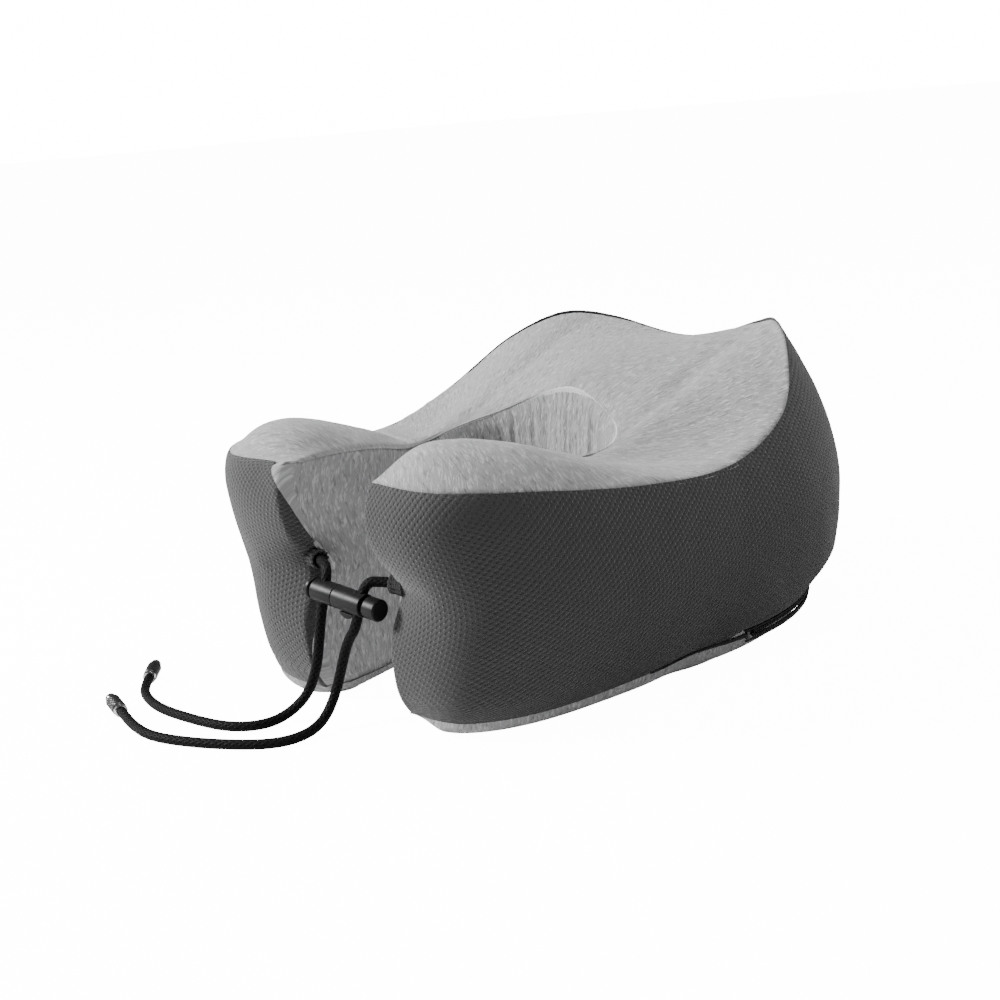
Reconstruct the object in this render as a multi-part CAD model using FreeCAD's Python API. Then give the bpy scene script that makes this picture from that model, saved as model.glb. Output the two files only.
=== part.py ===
import FreeCAD, Part
import math
import os

# U shaped neck pillow, millimetres. +Z is up and the opening between the arms faces -Y.
# A memory foam core sits in a washable cover of four panels. A zip closes the cover round the back,
# along the seam above the underside. A cord comes out of the front of each arm, passes through its
# half of a two-part cord lock, and lies on the surface in front of the pillow.

V = FreeCAD.Vector

# ---- driving dimensions: the pillow -------------------------------------------------------------
HALF_WIDTH = 125.0          # widest half width of the plan
HALF_LENGTH = 153.0         # half length of the superellipse that the plan follows
PLAN_POWER = 2.5            # its exponent, between an ellipse and a rectangle
PLAN_SHIFT = 1.0            # how far back its centre lies from the origin
CORNER_X = 28.5             # where an arm's outer outline ends, at the gap between the arms
CORNER_RUN = (-5.0, 9.0)    # from there round the arm's front corner to the inner wall
WIDEST_Z = 69.0             # height of the wall's widest section
HUMP_Z = 146.0              # nominal height of the rear humps
LOWER_INSET = 17.0          # how far the wall draws in from its widest section to the floor
REAR_INSET = 26.0           # and to the top of the humps
ARM_INSET = 9.0             # and to the top of the arms
UPPER_POWER = 1.7           # how late the wall draws in above its widest section
FRONT_SLANT = 11.0          # backward lean of the arms' fronts towards the floor
WAIST_Z = 66.0              # the waist in the arms' fronts, where the cords come out
WAIST_DEPTH = 16.0
WAIST_REACH = 16.0

# Stations along one half of the outline, from the middle of the back (0) to the arm's front (1).
PLAN_SWELL = [(0, 0), (0.18, 8), (0.36, 7), (0.53, -3), (0.71, -5), (0.89, 12), (1, 5)]
TOP_SEAM_Z = [(0, 137), (0.15, 148), (0.26, 152), (0.35, 140), (0.44, 115), (0.54, 102), (0.68, 105),
              (0.83, 115), (1, 119)]
LOW_SEAM_Z = [(0, 15.5), (0.56, 15.5), (0.82, 10.5), (1, 6.5)]
INNER_SEAM_Z = [(0, 130), (0.22, 116), (0.45, 108), (0.75, 117), (1, 118)]
INNER_LOW_Z = [(0, 10), (0.5, 8.5), (1, 6.5)]
CROWN = [(0, 6), (0.25, -3), (0.5, -6), (0.68, 10), (0.86, 18), (1, 0)]
ACROSS = [(0, 0), (0.35, 0.30), (0.6, 0.58), (0.8, 0.82), (1, 1)]

# The wall of the neck opening in plan, from the middle of the back to the gap between the arms.
NECK = [(0, 18), (19, 16), (36, 8), (47, -5), (51, -20), (46, -42), (34, -66), (25, -90), (23, -110)]

# ---- driving dimensions: cover and foam ----------------------------------------------------------
COVER = 2.4                 # cover fabric with its backing
LINER = 0.8                 # inner sock round the foam
LINER_DEPTH = 3.4           # the sock's outer face under the cover's outer face
CORE_DEPTH = 4.4            # the foam's face under the cover's outer face
JOIN = 0.15                 # half of the line between two panels at a plain seam

# ---- driving dimensions: zip ---------------------------------------------------------------------
ZIP_CENTRE_Y = 23.0         # the zip is an arc about a vertical line through this place
ZIP_R = 120.0
ZIP_Z = 15.5
ZIP_BAND = 3.3              # half of the opening between the panels, which shows the zip
ZIP_END = 100.0             # degrees each way from the middle of the back
TEETH_GAP = 0.5
TEETH_TOP = 2.0
TAPE = 0.5
SLIDER_LENGTH = 9.0
SLIDER_HALF_HEIGHT = 2.9
SLIDER_ANGLE = -93.0        # where the slider rests with the zip closed
PULL_LENGTH = 11.0
PULL_WIDTH = 5.0
PULL_THICK = 1.2
PIN_R = 0.5
BAIL_OUT = 3.6              # the bail's distance outside the zip's arc
BAIL_UP = 0.7

# ---- driving dimensions: cords and lock -----------------------------------------------------------
CORD_R = 2.4
CHANNEL_R = 3.7             # the cord's channel through cover and foam
CHANNEL_LENGTH = 26.0
EXIT_R = 5.4                # gathered fabric eyelet round the cord: radius at its foot
EXIT_BORE_R = 3.6           # loose round the cord, so that the cord slides
EXIT_LENGTH = 7.0
LOCK_AT = V(-1.5, -148.0, 61.0)
LOCK_TILT = 5.0             # degrees, right end down
BARREL_R = 5.5
BORE_R = 3.85
STEM_R = 3.7
CORD_HOLE_R = 2.55
SOCKET_LENGTH = 14.4
SOCKET_HOLE_X = -9.6
PLUG_LENGTH = 18.6
PLUG_HOLE_X = 14.8
HOLE_TILT = 15.0            # degrees: the cord enters from above and behind, and leaves forwards
LEFT_TRAVEL = 1.2
RIGHT_TRAVEL = 1.8
FLANGE = 2.4
HEAD = 7.9
HEAD_R = 5.2
SPIGOT_R = 2.6
SPIGOT_LENGTH = 2.3
LEFT_SPRING = (-4.7, -3.25, 2)          # from, to, turns, along the lock
RIGHT_SPRING = (4.05, 8.3, 4)
SPRING_R = 2.7
TAB_ENDS = (2.8, 12.0)      # the release tab's ends along the lock
TAB_TOP = -5.85
TAB_LOW = -8.4
TAB_WIDTH = 5.0
PEG_R = 1.0
PEG_X = 7.0
POCKET = (10.0, 5.6, 2.0)   # the tab's seat under the barrel
EDGE = 0.4

# The cords' routes, chosen by hand: from inside the arm, through the lock and down to the surface.
LEFT_CORD = [(-39.5, -136.2, 74.2), (-29.5, -136.6, 73.4), (-19.8, -139.9, 72.9), (-10.17, -145.26, 72.04),
             (-11.95, -150.74, 51.64), (-13.5, -152.5, 38.5), (-16.5, -153.5, 24.5), (-22, -156.5, 10.5),
             (-27.5, -167, 2.4), (-29.5, -181, 2.4), (-43, -190.5, 2.4), (-66, -193.5, 2.4),
             (-90, -194, 2.4), (-109, -189, 2.4), (-121.5, -182, 2.4), (-128.5, -174, 3.6)]
RIGHT_CORD = [(40.8, -136.2, 67.8), (31.5, -136.6, 68.6), (22.6, -139.6, 69.3), (14.13, -145.26, 69.91),
              (12.35, -150.74, 49.51), (5, -151, 41), (0, -152, 28), (-3.5, -154.5, 14.5),
              (-3.5, -163, 4.5), (-1.5, -176, 2.4), (-6, -190, 2.4), (-22, -201.5, 2.4),
              (-45, -212, 2.4), (-66, -217, 2.4), (-83, -214, 2.4), (-94, -210.5, 2.4),
              (-101.5, -208.5, 3.6)]
LEFT_MOUTH = V(-25.5, -138.0, 73.2)     # the middle of each eyelet, where the cord leaves its arm
LEFT_WAY = V(9.7, -3.3, -0.5)
RIGHT_MOUTH = V(28.5, -138.0, 68.9)
RIGHT_WAY = V(-8.9, -3.0, 0.7)
CHANNEL_START = 24.0                    # how far from the middle plane the channels begin
COLLAR = (3.3, 2.4)         # chrome collar on the cord's end: radius, length
TIP_BARREL = (3.6, 10.5)
END_PIECE = (2.7, 4.0)

os.makedirs("parts", exist_ok=True)


# ---- small tools -----------------------------------------------------------------------------------
def save(name, shape):
    """Write one sub-part and say how large it is."""
    shape.exportStep("parts/%s.step" % name)
    box = shape.BoundBox
    print("%-22s valid %-5s solids %d volume %9.1f  x %7.1f %7.1f  y %7.1f %7.1f  z %6.1f %6.1f" % (
        name, shape.isValid(), len(shape.Solids), shape.Volume,
        box.XMin, box.XMax, box.YMin, box.YMax, box.ZMin, box.ZMax))


def along(stations, t):
    """A smooth line through the stations (place, value), by cubic pieces."""
    count = len(stations)
    k = 0
    while k < count - 2 and t > stations[k + 1][0]:
        k += 1

    def slope(j):
        a, b = max(j - 1, 0), min(j + 1, count - 1)
        if j == 0:
            return 0.0
        return (stations[b][1] - stations[a][1]) / (stations[b][0] - stations[a][0])

    (t0, v0), (t1, v1) = stations[k], stations[k + 1]
    span = t1 - t0
    f = min(max((t - t0) / span, 0.0), 1.0)
    return (v0 * (1 + 2 * f) * (1 - f) ** 2 + v1 * f * f * (3 - 2 * f)
            + span * (slope(k) * f * (1 - f) ** 2 - slope(k + 1) * f * f * (1 - f)))


def ramp(x, low, high):
    """0 below low, 1 above high and a soft step between."""
    f = min(max((x - low) / (high - low), 0.0), 1.0)
    return f * f * (3 - 2 * f)


def mix(a, b, f):
    return a * (1 - f) + b * f


# ---- the outer wall ---------------------------------------------------------------------------------
def superellipse(angle):
    s, c = math.sin(angle), math.cos(angle)
    r = (abs(s) ** PLAN_POWER + abs(c) ** PLAN_POWER) ** (-1 / PLAN_POWER)
    return V(HALF_WIDTH * r * s, HALF_LENGTH * r * c, 0)


def corner_angle():
    """Angle at which the outline reaches the gap between the arms."""
    low, high = math.pi * 0.75, math.pi
    while high - low > 1e-6:
        middle = (low + high) / 2
        if superellipse(middle).x > CORNER_X:
            low = middle
        else:
            high = middle
    return low


CORNER_ANGLE = corner_angle()


def plan_point(s):
    p = superellipse(s * CORNER_ANGLE)
    return p * (1 + along(PLAN_SWELL, s) / p.Length) + V(0, PLAN_SHIFT, 0)


def plan_normal(s):
    step = 0.002
    run = plan_point(min(s + step, 1.0)) - plan_point(max(s - step, 0.0) if s else -step)
    return V(-run.y, run.x, 0).normalize()


def wall_inset(s, z):
    """How far the outer wall lies inside its widest outline."""
    low = max(WIDEST_Z - z, 0) / WIDEST_Z
    high = max(z - WIDEST_Z, 0) / (HUMP_Z - WIDEST_Z)
    angle = math.degrees(s * CORNER_ANGLE)
    upper = mix(REAR_INSET, ARM_INSET, ramp(angle, 60, 110))
    side = LOWER_INSET * low ** 2 + upper * high ** UPPER_POWER
    front = (FRONT_SLANT * max(100 - z, 0) / 100 + 6 * max((z - 100) / 20, 0) ** 2
             + 0.6 * LOWER_INSET * max((25 - z) / 25, 0) ** 2)
    waist = WAIST_DEPTH * math.exp(-((z - WAIST_Z) / WAIST_REACH) ** 2) * ramp(angle, 140, 180)
    return mix(side, front, ramp(angle, 115, 165)) + waist


def zip_angle(p):
    """Degrees from the middle of the back, about the zip's centre."""
    return math.degrees(math.atan2(abs(p.x), p.y - ZIP_CENTRE_Y))


def wall_point(s, z, depth):
    """A point on the outer wall, or depth under it. s above 1 runs round the arm's front corner."""
    turn = max(s - 1, 0.0)
    s = min(s, 1.0)
    p = plan_point(s) + plan_normal(s) * (wall_inset(s, z) + depth) * -1
    on_arc = (1 - ramp(zip_angle(p), 104, 125)) * (1 - ramp(z, 22, 50))
    spoke = (p - V(0, ZIP_CENTRE_Y, 0)).normalize()
    rise = LOWER_INSET / WIDEST_Z * 1.6 * (z - ZIP_Z) if z > ZIP_Z else 1.2 * (z - ZIP_Z)
    p = mix(p, V(0, ZIP_CENTRE_Y, 0) + spoke * (ZIP_R + rise - depth), on_arc)
    p += V(CORNER_RUN[0] + depth * 0.6, CORNER_RUN[1], 0) * turn
    p.z = z
    return p


def band(p):
    """Half height of the gap between side panel and bottom panel: wide where the zip shows."""
    return mix(ZIP_BAND, JOIN, ramp(zip_angle(p), ZIP_END + 1, ZIP_END + 6))


def outer_point(s, w, depth=0.0, lift=0.0, drop=0.0):
    """w runs from the bottom seam (0) to the top seam (1)."""
    low, high = along(LOW_SEAM_Z, min(s, 1.0)) + lift, along(TOP_SEAM_Z, min(s, 1.0)) - drop
    return wall_point(s, mix(low, high, w), depth)


# ---- the inner wall, round the neck --------------------------------------------------------------------
def neck_plan(s):
    """The neck opening's outline in plan: s runs by length along its points."""
    corner = wall_point(2.0, 100.0, 0.0)
    points = [V(x, y, 0) for x, y in NECK] + [V(corner.x, corner.y, 0)]
    reach = [0.0]
    for a, b in zip(points, points[1:]):
        reach.append(reach[-1] + (b - a).Length)
    xs = [(r / reach[-1], p.x) for r, p in zip(reach, points)]
    ys = [(r / reach[-1], p.y) for r, p in zip(reach, points)]
    xs.insert(0, (-xs[1][0], -xs[1][1]))
    ys.insert(0, (-ys[1][0], ys[1][1]))
    return V(along(xs, s), along(ys, s), 0)


def inner_point(s, w, depth=0.0, lift=0.0, drop=0.0):
    t = along(ACROSS, min(s, 1.0))
    z = mix(along(INNER_LOW_Z, t) + lift, along(INNER_SEAM_Z, t) - drop, w)
    step = 0.004
    run = neck_plan(min(t + step, 1.0)) - neck_plan(t - step)
    out = V(run.y, -run.x, 0).normalize() * -1
    corner = wall_point(2.0, z, 0.0) - wall_point(2.0, 100.0, 0.0)
    p = neck_plan(t) + out * depth + V(corner.x, corner.y, 0) * ramp(t, 0.75, 1.0)
    p.z = z
    return p


# ---- closed solids from a box of points -------------------------------------------------------------
def spline_face(grid):
    """One smooth face whose control points are the grid."""
    def knots(count):
        degree = min(3, count - 1)
        inner = count - degree - 1
        places = [k / (inner + 1) for k in range(inner + 2)]
        return degree, places, [degree + 1] + [1] * inner + [degree + 1]

    du, ku, mu = knots(len(grid))
    dv, kv, mv = knots(len(grid[0]))
    face = Part.BSplineSurface()
    face.buildFromPolesMultsKnots(grid, mu, mv, ku, kv, False, False, du, dv)
    return face.toShape()


def brick(point, us, vs, ws):
    """A closed solid with six smooth faces: point(u, v, w) gives its control points."""
    def face(axes):
        return spline_face([[point(*axes(a, b)) for b in range(axes.n)] for a in range(axes.m)])

    def pick(fixed, value):
        lists = [us, vs, ws]
        free = [k for k in range(3) if k != fixed]

        def axes(a, b):
            out = [value] * 3
            out[free[0]] = lists[free[0]][a]
            out[free[1]] = lists[free[1]][b]
            return out
        axes.m, axes.n = len(lists[free[0]]), len(lists[free[1]])
        return axes

    faces = [face(pick(0, us[0])), face(pick(0, us[-1])), face(pick(1, vs[0])), face(pick(1, vs[-1])),
             face(pick(2, ws[0])), face(pick(2, ws[-1]))]
    shell = Part.Shell(faces)
    shell.sewShape()
    solid = Part.Solid(shell)
    if solid.Volume < 0:
        solid.reverse()
    return solid


def steps(low, high, count):
    return [low + (high - low) * k / count for k in range(count + 1)]


ALONG = 26                   # columns of control points along each half


def mirrored(point):
    """Let s run from -1 (left arm) through 0 (back) to 1 (right arm)."""
    def whole(s, v, w):
        p = point(abs(s), v, w)
        return V(-p.x, p.y, p.z) if s < 0 else p
    return whole


def columns(end):
    half = [end * k / ALONG for k in range(1, ALONG + 1)]
    return [-s for s in reversed(half)] + [0.0] + half


def pillow(depth, end):
    """The pillow's body, its faces lying depth under the cover's outside."""
    def point(s, v, w):
        a = inner_point(s, w, depth, lift=depth, drop=depth)
        b = outer_point(s, w, depth, lift=depth, drop=depth)
        p = mix(a, b, v)
        hump = 4 * v * (1 - v)
        crown = along(CROWN, s) - 0.5 * depth * ramp(s, 0.82, 0.95)   # stays under the top panel's steep front
        p.z += crown * hump * w * w
        low = mix(along(INNER_LOW_Z, along(ACROSS, s)), along(LOW_SEAM_Z, s), v)
        p.z -= low * hump ** 0.45 * (1 - ramp(s, 0.93, 1.0)) * (1 - w) ** 2
        return p
    return brick(mirrored(point), columns(end), steps(0, 1, 8), steps(0, 1, 10))


# ---- foam, sock and cover ------------------------------------------------------------------------------
def lock_axis():
    """The lock's direction, from its left end to its right end."""
    tilt = math.radians(LOCK_TILT)
    return V(math.cos(tilt), 0, -math.sin(tilt))


def channels():
    """The two straight bores that the cords follow into the arms, and the eyelets' seats."""
    bores = []
    for side, mouth, way in ((-1, LEFT_MOUTH, LEFT_WAY), (1, RIGHT_MOUTH, RIGHT_WAY)):
        start = V(side * CHANNEL_START, mouth.y + 1.0, mouth.z)
        bores.append(Part.makeCylinder(CHANNEL_R, CHANNEL_LENGTH, start, lock_axis() * side))
        out = V(way).normalize()
        seat = mouth - out * (EXIT_LENGTH / 2 + 0.1)
        bores.append(Part.makeCylinder(EXIT_R + 0.1, EXIT_LENGTH * 1.5, seat, out))
    return bores[0].fuse(bores[1:])


def make_core(bores):
    return pillow(CORE_DEPTH, 0.985).cut(bores)


def make_liner(bores):
    outside = pillow(LINER_DEPTH, 0.988)
    inside = pillow(LINER_DEPTH + LINER, 0.986)
    return outside.cut(inside).cut(bores)


def make_top_panel():
    def point(s, v, t):
        a = inner_point(s, 1, COVER + JOIN)
        b = outer_point(s, 1, COVER + JOIN)
        p = mix(a, b, v)
        p.z += along(CROWN, s) * 4 * v * (1 - v) - t
        return p
    return brick(mirrored(point), columns(0.99), steps(0, 1, 10), [0.0, COVER])


def make_outer_panel(bores):
    def point(s, w, t):
        gap = band(outer_point(s, 0))
        return outer_point(s, w, depth=t, lift=gap)
    ends = [1.5, 2.0]
    rows = [-s for s in reversed(ends)] + columns(1.0) + ends
    return brick(mirrored(point), rows, steps(0, 1, 12), [0.0, COVER]).cut(bores)


def make_inner_panel(bores):
    def point(s, w, t):
        return inner_point(s, w, depth=t, lift=JOIN)
    return brick(mirrored(point), columns(0.985), steps(0, 1, 10), [0.0, COVER]).cut(bores)


def make_bottom_panel():
    def point(s, v, t):
        gap = band(outer_point(s, 0))
        a = inner_point(s, 0, drop=JOIN)
        b = outer_point(s, 0, lift=-gap)
        p = mix(a, b, v)
        hump = (4 * v * (1 - v)) ** 0.45 * (1 - ramp(s, 0.93, 1.0))
        p.z -= (p.z + 1.0) * hump
        p.z += t
        return p
    panel = brick(mirrored(point), columns(0.985), steps(0, 1, 12), [0.0, COVER])
    floor = Part.makeBox(400, 500, 50, V(-200, -250, -50))
    return panel.cut(floor)


# ---- zip ---------------------------------------------------------------------------------------------------
def zip_ring(section, start, end):
    """Turn a section of (radius, height over the zip's line) points about the zip's centre."""
    points = [V(0, r, ZIP_Z + h) for r, h in section]
    face = Part.Face(Part.makePolygon(points + [points[0]]))
    ring = face.revolve(V(0, 0, 0), V(0, 0, -1), end - start)
    ring.rotate(V(0, 0, 0), V(0, 0, -1), start)
    ring.translate(V(0, ZIP_CENTRE_Y, 0))
    return ring


def teeth(sign):
    section = [(ZIP_R - 0.9, TEETH_GAP), (ZIP_R + 0.3, TEETH_GAP), (ZIP_R + 0.6, TEETH_GAP + 0.4),
               (ZIP_R + 0.6, TEETH_TOP - 0.3), (ZIP_R + 0.3, TEETH_TOP), (ZIP_R - 0.9, TEETH_TOP)]
    return zip_ring([(r, sign * h) for r, h in section], -ZIP_END + 2, ZIP_END - 2)


def upper_tape():
    half = TAPE / 2
    section = [(ZIP_R - half, 2.05), (ZIP_R + half, 2.05), (ZIP_R + half, 2.7), (ZIP_R - 1.3, 3.25),
               (ZIP_R + 0.6, 8.5), (ZIP_R, 8.5), (ZIP_R - 1.9, 3.0), (ZIP_R - half, 2.5)]
    return zip_ring(section, -ZIP_END, ZIP_END)


def lower_tape():
    half = TAPE / 2
    section = [(ZIP_R - half, -2.05), (ZIP_R + half, -2.05), (ZIP_R + half, -3.1), (ZIP_R - half, -3.1)]
    return zip_ring(section, -ZIP_END, ZIP_END)


def on_zip(shape, angle):
    """Carry a piece made at the middle of the back, tangent along X, to its angle on the zip."""
    shape.translate(V(0, ZIP_CENTRE_Y + ZIP_R, ZIP_Z))
    shape.rotate(V(0, ZIP_CENTRE_Y, 0), V(0, 0, -1), angle)
    return shape


def end_stop(angle):
    block = Part.makeBox(1.8, 2.0, 2 * TEETH_TOP, V(-0.9, -1.2, -TEETH_TOP))
    return on_zip(block.makeFillet(0.4, block.Edges), angle)


def make_slider():
    half, tall = SLIDER_LENGTH / 2, SLIDER_HALF_HEIGHT

    def plate(low, high):
        outline = [V(-half, low, -tall * 0.72), V(half, low, -tall), V(half, low, tall),
                   V(-half, low, tall * 0.72)]
        face = Part.Face(Part.makePolygon(outline + [outline[0]]))
        block = face.extrude(V(0, high - low, 0))
        return block.makeFillet(0.35, block.Edges)
    front = plate(0.9, 2.2)
    back = plate(-2.6, -1.3)
    post = Part.makeBox(2.2, 4.2, 2 * (TEETH_GAP - 0.2), V(half - 2.6, -1.6, -(TEETH_GAP - 0.2)))
    posts = Part.makeBox(1.1, 2.1, 1.0, V(-2.6, 2.0, 0.2)).fuse(Part.makeBox(1.1, 2.1, 1.0, V(1.5, 2.0, 0.2)))
    bail = Part.makeCylinder(PIN_R, 5.2, V(-2.6, BAIL_OUT, BAIL_UP), V(1, 0, 0))
    return on_zip(front.fuse([back, post, posts, bail]), SLIDER_ANGLE)


def make_pull():
    """A flat tab with an eye round the slider's bail, hanging straight down."""
    eye = Part.makeCylinder(PIN_R + 0.7, 2.4, V(-1.2, 0, 0), V(1, 0, 0))
    neck = Part.makeBox(2.4, PULL_THICK, 3.6, V(-1.2, -PULL_THICK / 2, -4.4))
    tab = Part.makeBox(PULL_WIDTH, PULL_THICK, PULL_LENGTH - 4.0, V(-PULL_WIDTH / 2, -PULL_THICK / 2,
                                                                    -PULL_LENGTH))
    tab = tab.makeFillet(0.4, tab.Edges)
    slot = Part.makeBox(PULL_WIDTH - 3.0, PULL_THICK + 1, 3.0, V(-1.0, -PULL_THICK, -PULL_LENGTH + 1.6))
    hole = Part.makeCylinder(PIN_R + 0.1, 4.0, V(-2, 0, 0), V(1, 0, 0))
    pull = eye.fuse([neck, tab]).cut(slot).cut(hole)
    pull.translate(V(0, BAIL_OUT, BAIL_UP))
    return on_zip(pull, SLIDER_ANGLE)


# ---- cord lock: made along X with the line between its halves at the origin ------------------------------
def rod(radius, x0, x1, edge=0.0):
    piece = Part.makeCylinder(radius, x1 - x0, V(x0, 0, 0), V(1, 0, 0))
    if not edge:
        return piece
    rims = [e for e in piece.Edges if isinstance(e.Curve, Part.Circle)]
    return piece.makeFillet(edge, rims)


def tilted(shape):
    """Turn a cut made upright to the slope of the cord's hole."""
    shape.rotate(V(0, 0, 0), V(1, 0, 0), -HOLE_TILT)
    return shape


def cord_hole(x):
    return tilted(Part.makeCylinder(CORD_HOLE_R, 20, V(x, 0, -10), V(0, 0, 1)))


def in_place(shape):
    shape.rotate(V(0, 0, 0), V(0, 1, 0), LOCK_TILT)
    shape.translate(LOCK_AT)
    return shape


def make_socket_half():
    body = rod(BARREL_R, -SOCKET_LENGTH, -0.1, EDGE)
    bore = rod(BORE_R, -SOCKET_LENGTH - 1, -3.2)
    mouth = rod(SPIGOT_R + 0.2, -2.6, 1)
    return in_place(body.cut(bore).cut(mouth).cut(cord_hole(SOCKET_HOLE_X)))


def make_plug_half():
    body = rod(BARREL_R, 0.1, PLUG_LENGTH, EDGE)
    spigot = rod(SPIGOT_R, -SPIGOT_LENGTH, 1.0, EDGE)
    bore = rod(BORE_R, 4.0, PLUG_LENGTH + 1)
    pocket = Part.makeBox(*POCKET, V(TAB_ENDS[0] - 0.4, -POCKET[1] / 2, -6.75))
    peg_hole = Part.makeCylinder(PEG_R + 0.3, 3.0, V(PEG_X, 0, -6.0), V(0, 0, 1))
    body = body.fuse(spigot).cut(bore).cut(pocket).cut(peg_hole)
    return in_place(body.cut(cord_hole(PLUG_HOLE_X)))


def stem_slot(x0, x1):
    half = CORD_R + 0.2
    return tilted(Part.makeBox(x1 - x0, 2 * half, 2 * STEM_R + 2, V(x0, -half, -STEM_R - 1)))


def make_left_button():
    bridge = SOCKET_HOLE_X + CORD_R + 0.2
    far = SOCKET_HOLE_X - CORD_R - LEFT_TRAVEL - 0.2
    back = -SOCKET_LENGTH - LEFT_TRAVEL
    stem = rod(STEM_R, back - 0.5, bridge + 1.0).cut(stem_slot(far, bridge))
    flange = rod(BARREL_R, back - FLANGE, back, 0.7)
    return in_place(flange.fuse(stem))


def make_right_button():
    bridge = PLUG_HOLE_X - CORD_R - 0.2
    far = PLUG_HOLE_X + CORD_R + RIGHT_TRAVEL + 0.2
    back = PLUG_LENGTH + RIGHT_TRAVEL
    stem = rod(STEM_R, bridge - 1.8, back + 0.5).cut(stem_slot(bridge, far))
    head = rod(HEAD_R, back, back + HEAD, 0.9)
    return in_place(head.fuse(stem))


def make_spring(x0, x1, turns):
    """Round wire turns lying side by side, drawn at the pressed length, as separate rings."""
    wire = (x1 - x0) / turns / 2
    rings = []
    for k in range(turns):
        ring = Part.makeTorus(SPRING_R, wire * 0.92, V(x0 + wire * (2 * k + 1), 0, 0), V(1, 0, 0))
        rings.append(ring)
    return in_place(Part.makeCompound(rings))


def make_release_tab():
    left, right = TAB_ENDS
    side = -TAB_WIDTH / 2
    a, b, c = V(left, side, TAB_TOP), V((left + right) / 2, side, TAB_LOW), V(right, side, TAB_TOP)
    outline = Part.Wire([Part.Arc(a, b, c).toShape(), Part.makeLine(c, a)])
    tab = Part.Face(outline).extrude(V(0, TAB_WIDTH, 0))
    peg = Part.makeCylinder(PEG_R, 2.0, V(PEG_X, 0, -6.6), V(0, 0, 1))
    return in_place(tab.fuse(peg))


# ---- cords --------------------------------------------------------------------------------------------------
def cord_path(points):
    """Straight runs joined by tangent arcs, each as large as its two runs allow."""
    points = [V(*p) for p in points]
    edges, radii, start = [], [], points[0]
    for a, b, c in zip(points, points[1:], points[2:]):
        first, second = b - a, c - b
        turn = first.getAngle(second)
        short = min(first.Length, second.Length)
        cut = 0.45 * short
        radii.append(cut / math.tan(turn / 2))
        p, q = b - first.normalize() * cut, b + second.normalize() * cut
        bow = ((p - b).normalize() + (q - b).normalize()).normalize()
        centre = b + bow * math.hypot(radii[-1], cut)
        middle = centre - bow * radii[-1]
        edges.append(Part.LineSegment(start, p).toShape())
        edges.append(Part.Arc(p, middle, q).toShape())
        start = q
    edges.append(Part.LineSegment(start, points[-1]).toShape())
    return Part.Wire(edges), radii


def make_cord(name, points):
    path, radii = cord_path(points)
    start = V(*points[0])
    way = (V(*points[1]) - start).normalize()
    ring = Part.Wire(Part.makeCircle(CORD_R, start, way))
    tube = path.makePipeShell([ring], True, True)
    expected = math.pi * CORD_R ** 2 * path.Length
    print("%s length %.1f, volume over section x length %.4f, radii %s" % (
        name, path.Length, tube.Volume / expected, [round(r, 1) for r in radii]))
    return tube


def tip_pieces(points):
    """Collar, barrel and end piece on the cord's far end."""
    end = V(*points[-1])
    way = (end - V(*points[-2])).normalize()
    place = end
    pieces = []
    for radius, length in (COLLAR, TIP_BARREL, END_PIECE):
        piece = Part.makeCylinder(radius, length, place, way)
        rims = [e for e in piece.Edges if isinstance(e.Curve, Part.Circle)]
        pieces.append(piece.makeFillet(EDGE, rims))
        place = place + way * length
    return pieces


def make_exit(mouth, way):
    """The gathered fabric eyelet that the cord comes out of. It narrows towards the lock."""
    way = V(way).normalize()
    foot = mouth - way * (EXIT_LENGTH / 2)
    cone = Part.makeCone(EXIT_R, EXIT_BORE_R + 0.7, EXIT_LENGTH, foot, way)
    bore = Part.makeCylinder(EXIT_BORE_R, EXIT_LENGTH * 2, foot - way * (EXIT_LENGTH / 2), way)
    return cone.cut(bore)


# ---- the whole object ----------------------------------------------------------------------------------------
BORES = channels()
save("memory_foam_core", make_core(BORES))
save("foam_liner", make_liner(BORES))
save("cover_top_panel", make_top_panel())
save("cover_outer_panel", make_outer_panel(BORES))
save("cover_inner_panel", make_inner_panel(BORES))
save("cover_bottom_panel", make_bottom_panel())

save("zipper_tape_upper", upper_tape())
save("zipper_tape_lower", lower_tape())
save("zipper_teeth_upper", teeth(1))
save("zipper_teeth_lower", teeth(-1))
save("zipper_stop_closed", end_stop(-ZIP_END + 1))
save("zipper_stop_open", end_stop(ZIP_END - 1))
save("zipper_slider", make_slider())
save("zipper_pull", make_pull())

save("lock_socket_half", make_socket_half())
save("lock_plug_half", make_plug_half())
save("lock_button_left", make_left_button())
save("lock_button_right", make_right_button())
save("lock_spring_left", make_spring(*LEFT_SPRING))
save("lock_spring_right", make_spring(*RIGHT_SPRING))
save("lock_release_tab", make_release_tab())

save("cord_exit_left", make_exit(LEFT_MOUTH, LEFT_WAY))
save("cord_exit_right", make_exit(RIGHT_MOUTH, RIGHT_WAY))
for side, route in (("left", LEFT_CORD), ("right", RIGHT_CORD)):
    save("cord_" + side, make_cord("cord_" + side, route))
    collar, barrel, end_piece = tip_pieces(route)
    save("tip_collar_" + side, collar)
    save("tip_barrel_" + side, barrel)
    save("tip_end_" + side, end_piece)
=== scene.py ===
# %% [markdown]
# # A U shaped neck pillow with a cord lock
# The object is a memory foam travel pillow: a heather grey knit on top, round the neck and underneath,
# a charcoal spacer mesh round the outside, a coil zip along the back and two cords that share a lock.
# The engineering model already holds every part at its real place. We load it first and build on it,
# so that each piece we make lies exactly where the part that it stands for lies.

# %% Load the frame
import math

import bpy
import numpy as np
from mathutils import Matrix, Quaternion, Vector, noise


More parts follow.
